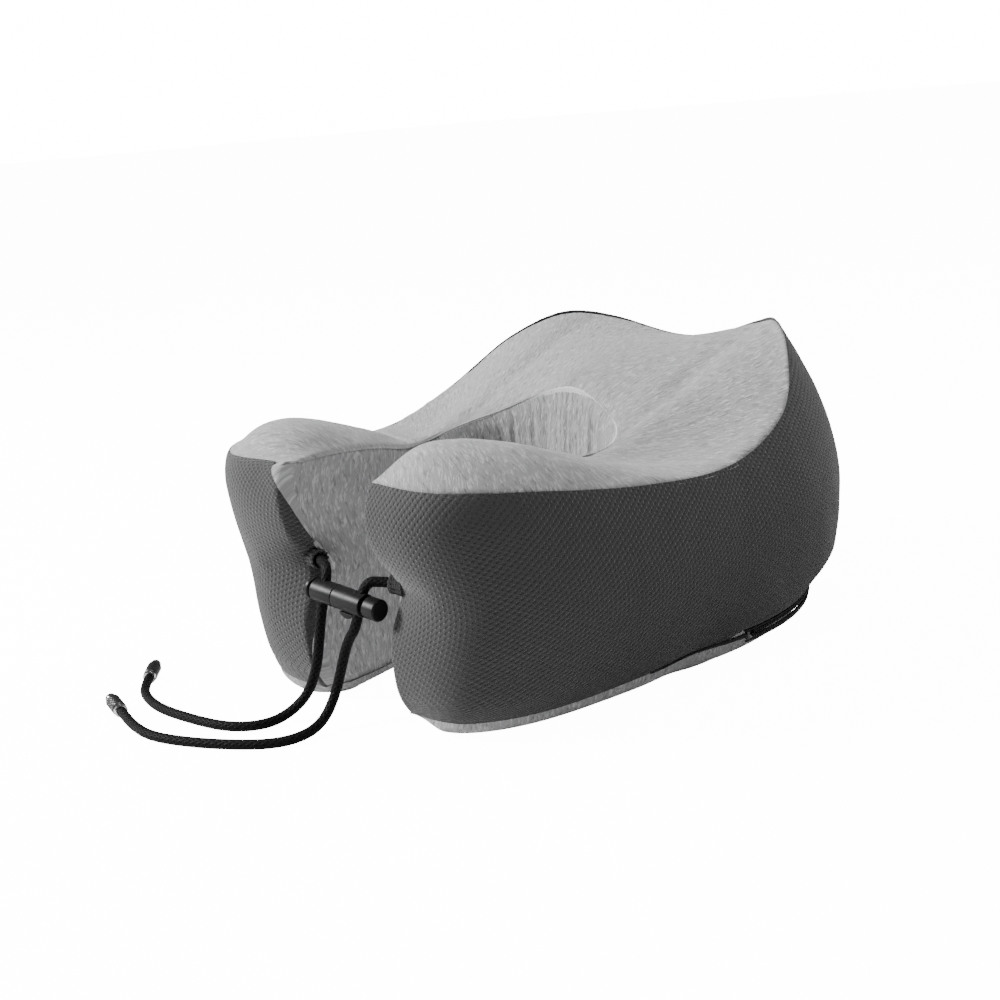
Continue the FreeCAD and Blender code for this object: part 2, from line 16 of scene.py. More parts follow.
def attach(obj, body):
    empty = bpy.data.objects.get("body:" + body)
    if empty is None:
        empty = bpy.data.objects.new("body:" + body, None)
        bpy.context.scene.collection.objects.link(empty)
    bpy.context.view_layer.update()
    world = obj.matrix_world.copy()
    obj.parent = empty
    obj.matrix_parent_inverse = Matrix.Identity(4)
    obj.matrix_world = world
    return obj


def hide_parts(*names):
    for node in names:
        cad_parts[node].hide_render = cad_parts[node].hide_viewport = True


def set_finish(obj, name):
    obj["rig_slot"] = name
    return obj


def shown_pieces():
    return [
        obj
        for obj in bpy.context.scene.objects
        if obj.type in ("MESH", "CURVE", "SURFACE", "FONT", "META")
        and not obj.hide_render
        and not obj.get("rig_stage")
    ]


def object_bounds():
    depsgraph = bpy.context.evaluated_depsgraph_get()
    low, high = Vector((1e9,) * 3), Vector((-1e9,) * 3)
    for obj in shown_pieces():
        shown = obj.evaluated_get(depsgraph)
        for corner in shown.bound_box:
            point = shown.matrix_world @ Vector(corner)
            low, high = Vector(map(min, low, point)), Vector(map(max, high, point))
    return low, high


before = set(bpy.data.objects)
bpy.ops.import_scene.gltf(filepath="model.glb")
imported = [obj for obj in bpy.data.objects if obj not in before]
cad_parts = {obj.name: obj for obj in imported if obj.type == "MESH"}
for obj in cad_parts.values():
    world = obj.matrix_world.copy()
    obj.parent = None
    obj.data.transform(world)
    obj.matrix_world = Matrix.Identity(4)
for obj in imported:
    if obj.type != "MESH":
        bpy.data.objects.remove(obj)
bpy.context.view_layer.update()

MM = 0.001

# %% [markdown]
# ## The camera
# A product shot is taken from a little above, turned 44 degrees to the right, with a lens that is
# slightly longer than normal. Setting the camera first lets us judge each piece from the view that
# matters most. The camera looks along its own -Z, so we ask for the turn that puts -Z on our line of
# sight, and then tilt it about that line.

# %% Place the camera
VIEW_FROM = Vector((0.5133, -0.5712, 0.2711))
VIEW_ALONG = Vector((-0.67102, 0.69800, -0.25005))
VIEW_TILT = math.radians(-4.796)

camera = bpy.data.objects.new("camera", bpy.data.cameras.new("camera"))
bpy.context.scene.collection.objects.link(camera)
camera.data.lens = 54.27
camera.location = VIEW_FROM
camera.rotation_mode = "QUATERNION"
camera.rotation_quaternion = (
    VIEW_ALONG.to_track_quat("-Z", "Y") @ Quaternion((0, 0, 1), VIEW_TILT))
bpy.context.scene.camera = camera
print("camera at", tuple(camera.location))

# %% [markdown]
# ## A few helpers
# Loading leaves the CAD parts selected, and an operator works on all that is selected, so every piece
# starts by clearing the selection. A finished piece keeps its object at the origin, with its place in
# the mesh itself, which is how the CAD parts are stored too.

# %% Helpers for operators
def clear_selection():
    bpy.ops.object.select_all(action="DESELECT")


def choose(piece):
    """Makes one piece the only selected and active one."""
    clear_selection()
    piece.select_set(True)
    bpy.context.view_layer.objects.active = piece


def apply_modifiers(piece):
    choose(piece)
    for modifier in list(piece.modifiers):
        bpy.ops.object.modifier_apply(modifier=modifier.name)


def add_object(name, data):
    """Puts a new object into the scene."""
    piece = bpy.data.objects.new(name, data)
    bpy.context.scene.collection.objects.link(piece)
    return piece


def face_outwards(piece):
    choose(piece)
    bpy.ops.object.mode_set(mode="EDIT")
    bpy.ops.mesh.select_all(action="SELECT")
    bpy.ops.mesh.normals_make_consistent(inside=False)
    bpy.ops.object.mode_set(mode="OBJECT")


def smooth(piece, degrees=35):
    choose(piece)
    bpy.ops.object.shade_smooth_by_angle(angle=math.radians(degrees))


def finish_piece(piece, body, slot, *nodes):
    """Says which body the piece rides on, whose finish it takes and which CAD parts it stands for."""
    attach(piece, body)
    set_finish(piece, slot)
    if nodes:
        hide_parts(*nodes)
    print("%-24s %6d faces" % (piece.name, len(piece.data.polygons)))

# %% Helper for turned pieces
def turned(name, profile, start, way, sides=32):
    """A round piece from (radius, height) steps: a disc is extruded step by step along +Z, its rim
    scaled each time, and the result is laid along the given way."""
    clear_selection()
    radius, height = profile[0]
    bpy.ops.mesh.primitive_circle_add(
        vertices=sides, radius=radius * MM, fill_type="NGON", location=(0, 0, height * MM))
    piece = bpy.context.object
    piece.name = name
    piece.data.name = name
    bpy.ops.object.transform_apply(location=True)
    bpy.ops.object.mode_set(mode="EDIT")
    bpy.ops.mesh.select_all(action="SELECT")
    for next_radius, next_height in profile[1:]:
        rise = (next_height - height) * MM
        bpy.ops.mesh.extrude_region_move(TRANSFORM_OT_translate={"value": (0, 0, rise)})
        scale = next_radius / radius
        bpy.ops.transform.resize(value=(scale, scale, 1), center_override=(0, 0, next_height * MM))
        radius, height = next_radius, next_height
    bpy.ops.object.mode_set(mode="OBJECT")
    face_outwards(piece)
    turn = Vector(way).to_track_quat("Z", "Y").to_matrix().to_4x4()
    piece.data.transform(Matrix.Translation(Vector(start)) @ turn)
    return piece

# %% [markdown]
# ## The cords
# A cord has a fixed length and lies under its own weight. Each route starts inside an arm of the pillow,
# passes through its hole in the lock, hangs to the surface and lies on it. The points are the control
# points of a smooth NURBS line, and a tube is built round the line that Blender works out from them.

# %% The routes, in millimetres
CORD_DIAMETER = 4.8
LEFT_ROUTE = [
    (-39.5, -136.2, 74.2), (-29.5, -136.6, 73.4), (-19.8, -139.9, 72.9), (-10.17, -145.26, 72.04),
    (-11.95, -150.74, 51.64), (-13.5, -152.5, 38.5), (-16.5, -153.5, 24.5), (-22, -156.5, 10.5),
    (-27.5, -167, 2.4), (-29.5, -181, 2.4), (-43, -190.5, 2.4), (-66, -193.5, 2.4),
    (-90, -194, 2.4), (-109, -189, 2.4), (-121.5, -182, 2.4), (-128.5, -174, 3.6)]
RIGHT_ROUTE = [
    (40.8, -136.2, 67.8), (31.5, -136.6, 68.6), (22.6, -139.6, 69.3), (14.13, -145.26, 69.91),
    (12.35, -150.74, 49.51), (5, -151, 41), (0, -152, 28), (-3.5, -154.5, 14.5),
    (-3.5, -163, 4.5), (-1.5, -176, 2.4), (-6, -190, 2.4), (-22, -201.5, 2.4),
    (-45, -212, 2.4), (-66, -217, 2.4), (-83, -214, 2.4), (-94, -210.5, 2.4),
    (-101.5, -208.5, 3.6)]
LEFT_MOUTH, LEFT_WAY = Vector((-25.5, -138.0, 73.2)), Vector((9.7, -3.3, -0.5))
RIGHT_MOUTH, RIGHT_WAY = Vector((28.5, -138.0, 68.9)), Vector((-8.9, -3.0, 0.7))


def route_line(name, route):
    """The points of the smooth line that Blender draws from the route."""
    curve = bpy.data.curves.new(name, "CURVE")
    curve.dimensions = "3D"
    curve.resolution_u = 16
    spline = curve.splines.new("NURBS")
    spline.points.add(len(route) - 1)
    for point, place in zip(spline.points, route):
        point.co = (*(Vector(place) * MM), 1)
    spline.order_u = 3
    spline.use_endpoint_u = True
    drawing = bpy.data.objects.new(name, curve)
    mesh = bpy.data.meshes.new_from_object(drawing)
    line = [v.co.copy() for v in mesh.vertices]
    bpy.data.objects.remove(drawing)
    bpy.data.meshes.remove(mesh)
    return line


lines = {"left": route_line("left_line", LEFT_ROUTE), "right": route_line("right_line", RIGHT_ROUTE)}

# %% Even steps along a line
def even_line(line, step):
    """The line again, with its points a fixed step apart."""
    reach = np.concatenate([[0], np.cumsum([(b - a).length for a, b in zip(line, line[1:])])])
    count = max(2, round(reach[-1] / step))
    places = np.linspace(0, reach[-1], count + 1)
    columns = [np.interp(places, reach, [p[k] for p in line]) for k in range(3)]
    return [Vector(p) for p in zip(*columns)], places


def make_tube(name, line, radius, sides, step):
    """A closed round tube along the line. Its UV map runs round the cord and along it, in metres."""
    points, places = even_line(line, step)
    side = (points[1] - points[0]).cross(Vector((0, 0, 1))).normalized()
    verts, coords = [], []
    for k, point in enumerate(points):
        way = (points[min(k + 1, len(points) - 1)] - points[max(k - 1, 0)]).normalized()
        side = (side - way * side.dot(way)).normalized()
        up = way.cross(side)
        for j in range(sides):
            angle = 2 * math.pi * j / sides
            verts.append(point + (side * math.cos(angle) + up * math.sin(angle)) * radius)
    rings = len(points)
    faces = []
    for k in range(rings - 1):
        for j in range(sides):
            i = (j + 1) % sides
            faces.append((k * sides + j, k * sides + i, (k + 1) * sides + i, (k + 1) * sides + j))
            wide = 2 * math.pi * radius
            u0, u1 = wide * j / sides, wide * (j + 1) / sides
            coords += [(u0, places[k]), (u1, places[k]), (u1, places[k + 1]), (u0, places[k + 1])]
    faces.append(tuple(reversed(range(sides))))
    faces.append(tuple((rings - 1) * sides + j for j in range(sides)))
    coords += [(0, 0)] * (2 * sides)
    mesh = bpy.data.meshes.new(name)
    mesh.from_pydata(verts, [], faces)
    layer = mesh.uv_layers.new(name="along")
    layer.data.foreach_set("uv", np.array(coords, float).ravel())
    piece = add_object(name, mesh)
    smooth(piece, 60)
    return piece, points

# %% Make both cords
cords, cord_points = {}, {}
for side, body in (("left", "pillow"), ("right", "lock_plug")):
    cords[side], cord_points[side] = make_tube(
        "braided_cord_" + side, lines[side], CORD_DIAMETER / 2 * MM, 28, 0.7 * MM)
    finish_piece(cords[side], body, "cord_braid", "cord_" + side)

# %% [markdown]
# ## The cord tips
# Each cord ends in a small turned fitting: a bright collar crimped on the braid, a knurled dark barrel
# to grip, and a polished end. They are lathe work, so each is a disc extruded step by step along its
# axis. Small steps at the rims make the chamfers that catch the light. The knurl is a row of flutes
# pressed into the barrel's own faces.

# %% Turn the tips
COLLAR_LENGTH, BARREL_LENGTH, FLUTES = 2.4, 10.5, 18
tips = {"left": [], "right": []}
ends = {side: (Vector(route[-1]) - Vector(route[-2])).normalized()
        for side, route in (("left", LEFT_ROUTE), ("right", RIGHT_ROUTE))}
for side, body in (("left", "pillow"), ("right", "lock_plug")):
    end, way = cord_points[side][-1], ends[side]
    collar = turned("crimped_collar_" + side, [
        (2.5, 0.0), (3.0, 0.05), (3.3, 0.35), (3.3, 0.9), (3.0, 1.05), (3.0, 1.35), (3.3, 1.5),
        (3.3, 2.05), (3.05, 2.35), (2.6, 2.4)], end, way, 40)
    barrel = turned("knurled_barrel_" + side, [
        (2.9, 0.0), (3.35, 0.1), (3.6, 0.45)] + [(3.6, 0.9 + 0.45 * k) for k in range(20)] + [
        (3.6, 9.9), (3.35, 10.3), (2.7, 10.5)], end + way * COLLAR_LENGTH * MM, way, 72)
    button = turned("polished_end_" + side, [
        (2.0, 0.0), (2.0, 0.5), (2.6, 0.7), (2.7, 1.1), (2.7, 2.6), (2.5, 3.3), (2.0, 3.75),
        (1.2, 3.95), (0.5, 4.0)], end + way * (COLLAR_LENGTH + BARREL_LENGTH) * MM, way, 40)
    for piece, slot, node in ((collar, "tip_chrome", "tip_collar_"), (barrel, "tip_dark", "tip_barrel_"),
                              (button, "tip_chrome", "tip_end_")):
        finish_piece(piece, body, slot, node + side)
        tips[side].append(piece)


def knurl(barrel, start, way, pitch=5.0, depth=0.16):
    """Presses two crossing sets of flutes into the barrel."""
    side = way.orthogonal().normalized()
    up = way.cross(side)
    for vertex in barrel.data.vertices:
        place = (vertex.co - start) / MM
        along = place.dot(way)
        out = place - way * along
        if not 0.8 < along < 9.7 or out.length < 3.5:
            continue
        angle = math.atan2(out.dot(up), out.dot(side)) * FLUTES
        turn = along * 2 * math.pi / pitch * 2
        ridge = max(math.cos(angle + turn), math.cos(angle - turn))
        vertex.co -= out.normalized() * depth * (1 - ridge) * MM


for side, way in ends.items():
    knurl(tips[side][1], cord_points[side][-1] + way * COLLAR_LENGTH * MM, way)
    for piece in tips[side]:
        smooth(piece, 30)

# %% [markdown]
# ## The cover: measuring lines
# The cover is sewn from four panels: a dark side wall, and light panels on top, underneath and round the
# neck. A sewn shape is best described by its seams. `s` runs from the middle of the back (0) to the front
# of an arm (1), with minus signs on the left arm, and a few stations along it give the height of each seam.
# A smooth line through the stations gives the height anywhere between.

# %% Seam heights and plan, in millimetres
HALF_WIDTH, HALF_LENGTH, PLAN_POWER, PLAN_SHIFT, CORNER_X = 125.0, 153.0, 2.5, 1.0, 28.5
CORNER_RUN = Vector((-5.0, 9.0, 0.0))
WIDEST_Z, HUMP_Z, WAIST_Z = 69.0, 146.0, 66.0
PLAN_SWELL = [(0, 0), (0.18, 8), (0.36, 7), (0.53, -3), (0.71, -5), (0.89, 12), (1, 5)]
TOP_SEAM_Z = [(0, 137), (0.15, 148), (0.26, 152), (0.35, 140), (0.44, 115), (0.54, 102), (0.68, 105),
              (0.83, 115), (1, 119)]
LOW_SEAM_Z = [(0, 15.5), (0.56, 15.5), (0.82, 10.5), (1, 6.5)]
NECK_TOP_Z = [(0, 130), (0.22, 116), (0.45, 108), (0.75, 117), (1, 118)]
NECK_LOW_Z = [(0, 10), (0.5, 8.5), (1, 6.5)]
CROWN = [(0, 6), (0.25, -3), (0.5, -6), (0.68, 10), (0.86, 18), (1, 0)]
ACROSS = [(0, 0), (0.35, 0.30), (0.6, 0.58), (0.8, 0.82), (1, 1)]
NECK_PLAN = [(0, 18), (19, 16), (36, 8), (47, -5), (51, -20), (46, -42), (34, -66), (25, -90), (23, -110)]
ZIP_CENTRE, ZIP_R, ZIP_Z, ZIP_END = Vector((0, 23, 0)), 120.0, 15.5, 100.0


def along(stations, t):
    """A smooth line through the stations (place, value)."""
    last = len(stations) - 1
    k = 0
    while k < last - 1 and t > stations[k + 1][0]:
        k += 1

    def slope(j):
        if j == 0:
            return 0.0
        a, b = stations[j - 1], stations[min(j + 1, last)]
        return (b[1] - a[1]) / (b[0] - a[0])

    (t0, v0), (t1, v1) = stations[k], stations[k + 1]
    f = min(max((t - t0) / (t1 - t0), 0.0), 1.0)
    return (v0 * (1 + 2 * f) * (1 - f) ** 2 + v1 * f * f * (3 - 2 * f)
            + (t1 - t0) * (slope(k) * f * (1 - f) ** 2 - slope(k + 1) * f * f * (1 - f)))


def ramp(x, low, high):
    """0 below low, 1 above high and a soft step between."""
    f = min(max((x - low) / (high - low), 0.0), 1.0)
    return f * f * (3 - 2 * f)


def mix(a, b, f):
    return a * (1 - f) + b * f


print("top seam over the back, hump and arm:", [round(along(TOP_SEAM_Z, s)) for s in (0, 0.26, 0.7)])

# %% The outline in plan
def superellipse(angle):
    s, c = math.sin(angle), math.cos(angle)
    r = (abs(s) ** PLAN_POWER + abs(c) ** PLAN_POWER) ** (-1 / PLAN_POWER)
    return Vector((HALF_WIDTH * r * s, HALF_LENGTH * r * c, 0))


low, high = math.pi * 0.75, math.pi
while high - low > 1e-6:
    middle = (low + high) / 2
    if superellipse(middle).x > CORNER_X:
        low = middle
    else:
        high = middle
CORNER_ANGLE = low


def plan_point(s):
    p = superellipse(s * CORNER_ANGLE)
    return p * (1 + along(PLAN_SWELL, s) / p.length) + Vector((0, PLAN_SHIFT, 0))


def plan_normal(s):
    run = plan_point(min(s + 0.002, 1.0)) - plan_point(max(s - 0.002, 0.0) if s else -0.002)
    return Vector((-run.y, run.x, 0)).normalized()


fine = [plan_point(k / 600) for k in range(601)]
reach = np.concatenate([[0], np.cumsum([(b - a).length for a, b in zip(fine, fine[1:])])])
HALF_ROUND = float(reach[-1])
WHOLE_ROUND = HALF_ROUND + CORNER_RUN.length
print("from the middle of the back to an arm's corner is %.0f mm" % WHOLE_ROUND)

# %% [markdown]
# ## The four panels as surfaces
# The side wall leans in from its widest line to the floor and to the top, and has a waist in the arms'
# fronts where the cords come out. The neck wall stands almost upright. The top panel spans the two upper
# seams and is crowned or dished between them, and the underside presses flat on what it stands on.
# Each function below gives a point on one panel for a place along the pillow and a place across it.

# %% The wall
FOOT_INSET, REAR_INSET, ARM_INSET, UPPER_POWER = 13, 26, 9, 1.7
WAIST_DEPTH, WAIST_SPREAD = 16, 16


def wall_inset(s, z):
    """How far the wall stands inside the outline: a barrel round the back, a waist in the arms' fronts."""
    low = max(WIDEST_Z - z, 0) / WIDEST_Z
    high = max(z - WIDEST_Z, 0) / (HUMP_Z - WIDEST_Z)
    angle = math.degrees(s * CORNER_ANGLE)
    side = FOOT_INSET * low ** 2 + mix(REAR_INSET, ARM_INSET, ramp(angle, 60, 110)) * high ** UPPER_POWER
    front = 11 * max(100 - z, 0) / 100 + 6 * max((z - 100) / 20, 0) ** 2 + 10 * max((25 - z) / 25, 0) ** 2
    waist = WAIST_DEPTH * math.exp(-((z - WAIST_Z) / WAIST_SPREAD) ** 2) * ramp(angle, 140, 180)
    return mix(side, front, ramp(angle, 115, 165)) + waist


def zip_angle(p):
    return math.degrees(math.atan2(abs(p.x), p.y - ZIP_CENTRE.y))


def wall_point(s, z, depth=0.0):
    """s above 1 runs round the arm's front corner."""
    turn = max(s - 1, 0.0)
    s = min(s, 1.0)
    p = plan_point(s) - plan_normal(s) * (wall_inset(s, z) + depth)
    on_arc = (1 - ramp(zip_angle(p), 104, 125)) * (1 - ramp(z, 17, 31))
    rise = (0.394 if z > ZIP_Z else 1.2) * (z - ZIP_Z)
    p = mix(p, ZIP_CENTRE + (p - ZIP_CENTRE).normalized() * (ZIP_R + rise - depth), on_arc)
    p += (CORNER_RUN + Vector((depth * 0.6, 0, 0))) * turn
    p.z = z
    return p


ZIP_OPENING, SEAM_OPENING = 3.3, 0.15


def zip_gap(p):
    """Half height of the gap between the panels: wide where the zip shows."""
    return mix(ZIP_OPENING, SEAM_OPENING, ramp(zip_angle(p), ZIP_END + 1, ZIP_END + 6))

# %% The side panel
def place_round(far):
    """The place s at a length of far, in millimetres, round the outline from the middle of the back."""
    return far / HALF_ROUND if far < HALF_ROUND else 1 + (far - HALF_ROUND) / CORNER_RUN.length


SEAM_TURNS = (15.0, 8.0)    # the knit's reach round the top of the left and of the right arm's front
seam_turn = SEAM_TURNS[0]


def front_seam(z):
    """How far round the dark cloth ends: at the arm's corner at the waist, before it above and below."""
    return WHOLE_ROUND - seam_turn * min(max((z - 62) / 50, 0), 1) ** 3 - 9 * ramp(58 - z, 0, 34)


def side_panel(s, w, depth=0.0):
    low, high = along(LOW_SEAM_Z, min(s, 1.0)), along(TOP_SEAM_Z, min(s, 1.0))
    low += zip_gap(wall_point(s, low))
    z = mix(low, high, w)
    far = min(s, 1) * HALF_ROUND + max(s - 1, 0) * CORNER_RUN.length
    start = 0.9 * HALF_ROUND
    if far > start:
        far = start + (far - start) * (front_seam(z) - start) / (WHOLE_ROUND - start)
    return wall_point(place_round(far), z, depth)

# %% The neck panel
def neck_outline():
    corner = wall_point(2.0, 100.0)
    points = [Vector((x, y, 0)) for x, y in NECK_PLAN] + [Vector((corner.x, corner.y, 0))]
    reach = [0.0]
    for a, b in zip(points, points[1:]):
        reach.append(reach[-1] + (b - a).length)
    places = [r / reach[-1] for r in reach]
    xs = [(-places[1], -points[1].x)] + [(t, p.x) for t, p in zip(places, points)]
    ys = [(-places[1], points[1].y)] + [(t, p.y) for t, p in zip(places, points)]
    return xs, ys


NECK_XS, NECK_YS = neck_outline()


def neck_point(t):
    return Vector((along(NECK_XS, t), along(NECK_YS, t), 0))


def neck_panel(s, w, depth=0.0):
    """s above 1 runs on round the arm's front corner, back to where the dark cloth ends."""
    t = along(ACROSS, min(s, 1.0))
    z = mix(along(NECK_LOW_Z, t), along(NECK_TOP_Z, t), w)
    if s > 1:
        return wall_point(place_round(mix(WHOLE_ROUND - 0.01, front_seam(z), s - 1)), z, depth)
    run = neck_point(min(t + 0.004, 1.0)) - neck_point(t - 0.004)
    corner = wall_point(2.0, z) - wall_point(2.0, 100.0)
    p = neck_point(t) + Vector((-run.y, run.x, 0)).normalized() * depth
    p += Vector((corner.x, corner.y, 0)) * ramp(t, 0.75, 1.0)
    p.z = z
    return p + soften(s, (1 - w) * z)


def soften(s, away):
    """Round the back the neck seam lies in a soft shoulder, which fades with the distance from it."""
    inward = neck_point(along(ACROSS, min(s, 1.0))).normalized() * 3.5
    return (inward + Vector((0, 0, -3.5))) * ramp(1 - s, 0.42, 0.7) * math.exp(-(away / 7) ** 2)

# %% The top panel and the underside
def top_panel(s, v, depth=0.0):
    inner, outer = neck_panel(s, 1), side_panel(s, 1)
    outer = wall_point(s, outer.z)
    inner -= soften(s, 0)
    p = mix(inner, outer, v)
    p.z += along(CROWN, s) * 4 * v * (1 - v) - depth
    return p + soften(s, v * (outer - inner).length)


def under_panel(s, v, depth=0.0):
    edge = side_panel(s, 0)
    edge = wall_point(s, along(LOW_SEAM_Z, s) - zip_gap(edge))
    p = mix(neck_panel(s, 0), edge, v)
    p.z -= (p.z + 1.0) * (4 * v * (1 - v)) ** mix(0.4, 0.62, v) * (1 - ramp(s, 0.93, 1.0))
    p.z = max(p.z, 0.0) + depth
    return p


print("hump top %.1f mm, arm front %.1f mm" % (top_panel(0.26, 1).z, top_panel(1.0, 0.5).z))

# %% [markdown]
# ## Cutting the panels
# Each panel becomes a grid of faces. Its columns stand at even steps round the pillow, and its rows lie
# closer together near the seams, because that is where a sewn panel bends most. We also keep, for each
# point, its place along and across, and its distance from the nearest seam: later steps gather and pucker
# the cloth by those numbers. The UV map holds true lengths in metres, so a weave keeps its size.

# %% Columns round the pillow
COLUMNS = 112
half_columns = np.interp(np.linspace(0, reach[-1], COLUMNS + 1), reach, np.linspace(0, 1, 601))
ROUND = [-s for s in reversed(half_columns[1:])] + list(half_columns)
CORNER_STEPS = [1.2, 1.4, 1.6, 1.8, 2.0]
ROUND_AND_CORNERS = [-s for s in reversed(CORNER_STEPS)] + ROUND + CORNER_STEPS
print("columns:", len(ROUND), "of %.1f mm" % (reach[-1] / COLUMNS))

# %% Grids
def seam_rows(count, crowd=0.6):
    """Places from 0 to 1, closer together near both ends."""
    return [t - crowd * math.sin(2 * math.pi * t) / (2 * math.pi) for t in np.linspace(0, 1, count + 1)]


LEFT_ARM_LEAN = (-4.5, -0.5, 0.5)  # the left arm stands a little wider than the right one
LEFT_ARM_LIFT = 6.0                # and its front is stuffed squarer, with the seams higher up


def cut_panel(name, surface, columns, rows, depth, straight=False):
    """A grid of points on a surface, with its attributes and its UV map. A straight cut measures the cloth
    along each row of its own, and a curved one along the middle row only."""
    global seam_turn
    points = []
    for s in columns:
        seam_turn = SEAM_TURNS[s >= 0]
        points.append([tuple(surface(abs(s), w, depth)) for w in rows])
    points = np.array(points)
    points[np.array(columns) < 0, :, 0] *= -1
    for p in points.reshape(-1, 3):
        p += np.array(LEFT_ARM_LEAN) * (ramp(-p[0], 32, 55) * ramp(-p[1], 10, 90) * ramp(p[2], 50, 105))
        lift = ramp(-p[0], 5, 25) * ramp(-p[1], 70, 130) * ramp(p[2], 70, 108)
        p[2] += LEFT_ARM_LIFT * lift * (1 - ramp(p[2], 113, 126))
    up = np.linalg.norm(np.diff(points, axis=1), axis=2)
    up = np.concatenate([np.zeros((len(columns), 1)), np.cumsum(up, axis=1)], axis=1)
    m, n = len(columns), len(rows)
    run = np.linalg.norm(np.diff(points, axis=0), axis=2)
    if not straight:
        run = np.repeat(run[:, n // 2][:, None], n, axis=1)
    spread = np.concatenate([np.zeros((1, n)), np.cumsum(run, axis=0)])
    spread -= spread[m // 2]
    rim = np.minimum(up, up[:, -1:] - up)
    faces = [(i * n + j, (i + 1) * n + j, (i + 1) * n + j + 1, i * n + j + 1)
             for i in range(m - 1) for j in range(n - 1)]
    outward = points[m // 2, n // 2] - np.array(tuple(surface(0.0, rows[n // 2], depth + 1)))
    corner = [points.reshape(-1, 3)[k] for k in faces[(m // 2) * (n - 1) + n // 2]]
    if np.dot(np.cross(corner[1] - corner[0], corner[2] - corner[0]), outward) < 0:
        faces = [tuple(reversed(f)) for f in faces]
    mesh = bpy.data.meshes.new(name)
    mesh.from_pydata(points.reshape(-1, 3) * MM, [], faces)
    for key, values in (("round", np.repeat(np.array(columns)[:, None], n, axis=1)),
                        ("across", np.repeat(np.array(rows)[None, :], m, axis=0)),
                        ("rim", rim), ("spread", spread)):
        layer = mesh.attributes.new(key, "FLOAT", "POINT")
        layer.data.foreach_set("value", values.ravel().astype(np.float32))
    coords = np.stack([spread, up], axis=2).reshape(-1, 2) * MM
    layer = mesh.uv_layers.new(name="cloth")
    corners = np.zeros(len(mesh.loops), np.int32)
    mesh.loops.foreach_get("vertex_index", corners)
    layer.data.foreach_set("uv", coords[corners].ravel())
    piece = add_object(name, mesh)
    border = piece.vertex_groups.new(name="seam")
    index = np.arange(m * n).reshape(m, n)
    border.add([int(k) for k in np.unique(np.concatenate(
        [index[0], index[-1], index[:, 0], index[:, -1], index[1], index[-2]]))], 1.0, "REPLACE")
    return piece


SHRINK = 0.6
panels = {
    "side": cut_panel("mesh_side_panel", side_panel, ROUND_AND_CORNERS, seam_rows(36), SHRINK, True),
    "top": cut_panel("knit_top_panel", top_panel, ROUND, seam_rows(24), SHRINK),
    "neck": cut_panel("knit_neck_panel", neck_panel, ROUND_AND_CORNERS, seam_rows(30), SHRINK),
    "under": cut_panel("knit_under_panel", under_panel, ROUND, seam_rows(18), 0.0)}
for name, piece in panels.items():
    print(name, "panel:", len(piece.data.vertices), "points")

# %% [markdown]
# ## Stuffing the panels
# The foam presses each panel outwards between its seams. Blender's Cloth does that: the seams are pinned,
# gravity is off and a pressure pushes from inside. We start from a slightly smaller shape, let it swell for
# twenty frames, and cap how far a point may go, because a real cover can't stretch far from its foam.

# %% Press the foam into the cover
PUSH_CAP = 2.6


def stuff(piece, pressure):
    start = np.zeros(len(piece.data.vertices) * 3)
    piece.data.vertices.foreach_get("co", start)
    cloth = piece.modifiers.new("stuffing", "CLOTH")
    cloth.settings.quality = 5
    cloth.settings.tension_stiffness = 15
    cloth.settings.compression_stiffness = 15
    cloth.settings.bending_stiffness = 1
    cloth.settings.vertex_group_mass = "seam"
    cloth.settings.use_pressure = True
    cloth.settings.uniform_pressure_force = pressure
    cloth.settings.effector_weights.gravity = 0
    cloth.collision_settings.use_collision = False
    for frame_number in range(1, 21):
        bpy.context.scene.frame_set(frame_number)
    apply_modifiers(piece)
    end = np.zeros(len(start))
    piece.data.vertices.foreach_get("co", end)
    move = (end - start).reshape(-1, 3)
    length = np.maximum(np.linalg.norm(move, axis=1, keepdims=True), 1e-9)
    move *= np.minimum(length, PUSH_CAP * MM) / length
    piece.data.vertices.foreach_set("co", start + move.ravel())
    bpy.context.scene.frame_set(1)
    print(piece.name, "swells %.1f mm at most, %.1f mm on average" % (
        length.max() / MM, length.mean() / MM))


for key, pressure in (("side", 60), ("top", 40), ("neck", 40)):
    stuff(panels[key], pressure)

# %% [markdown]
# ## Seams, gathers and puckers
# A seam pulls the cloth in along its line and leaves small puckers beside it, and cloth that goes round a
# hollow bunches into folds. These are too fine for the simulation, so after one subdivision we move the
# points along their normals by a few simple formulas of the numbers that each point carries. The noise
# comes from Blender's own fixed noise function, so every run gives the same cloth.

# %% Read and move points
def point_values(mesh, key):
    values = np.zeros(len(mesh.vertices), np.float32)
    mesh.attributes[key].data.foreach_get("value", values)
    return values


def bump(x, centre, width):
    return math.exp(-((x - centre) / width) ** 2)


def wobble(*place):
    """Smooth noise from about -1 to 1."""
    return noise.noise(Vector(place))


def work_cloth(piece, shift):
    """Moves each point out along its normal by shift(place, round, across, rim, spread), in millimetres."""
    mesh = piece.data
    numbers = [point_values(mesh, key) for key in ("round", "across", "rim", "spread")]
    normals = [v.normal.copy() for v in mesh.vertices]
    for vertex, normal, s, w, rim, spread in zip(mesh.vertices, normals, *numbers):
        vertex.co += normal * shift(vertex.co / MM, s, w, rim, spread) * MM
        vertex.co.z = max(vertex.co.z, 0.0)


for piece in panels.values():
    divide = piece.modifiers.new("finer cloth", "SUBSURF")
    divide.levels = divide.render_levels = 1
    divide.boundary_smooth = "PRESERVE_CORNERS"
    apply_modifiers(piece)

# %% Folds of each panel
def seam_shape(rim, spread, depth=1.2):
    """The dip of a seam line, and puckers beside it that come and go."""
    groove = -depth * math.exp(-(rim / 1.8) ** 2)
    pucker = 0.32 * wobble(spread / 4.2, 3.1, rim / 30) * math.exp(-(rim / 7) ** 2)
    return groove + pucker * min(rim / 1.5, 1)


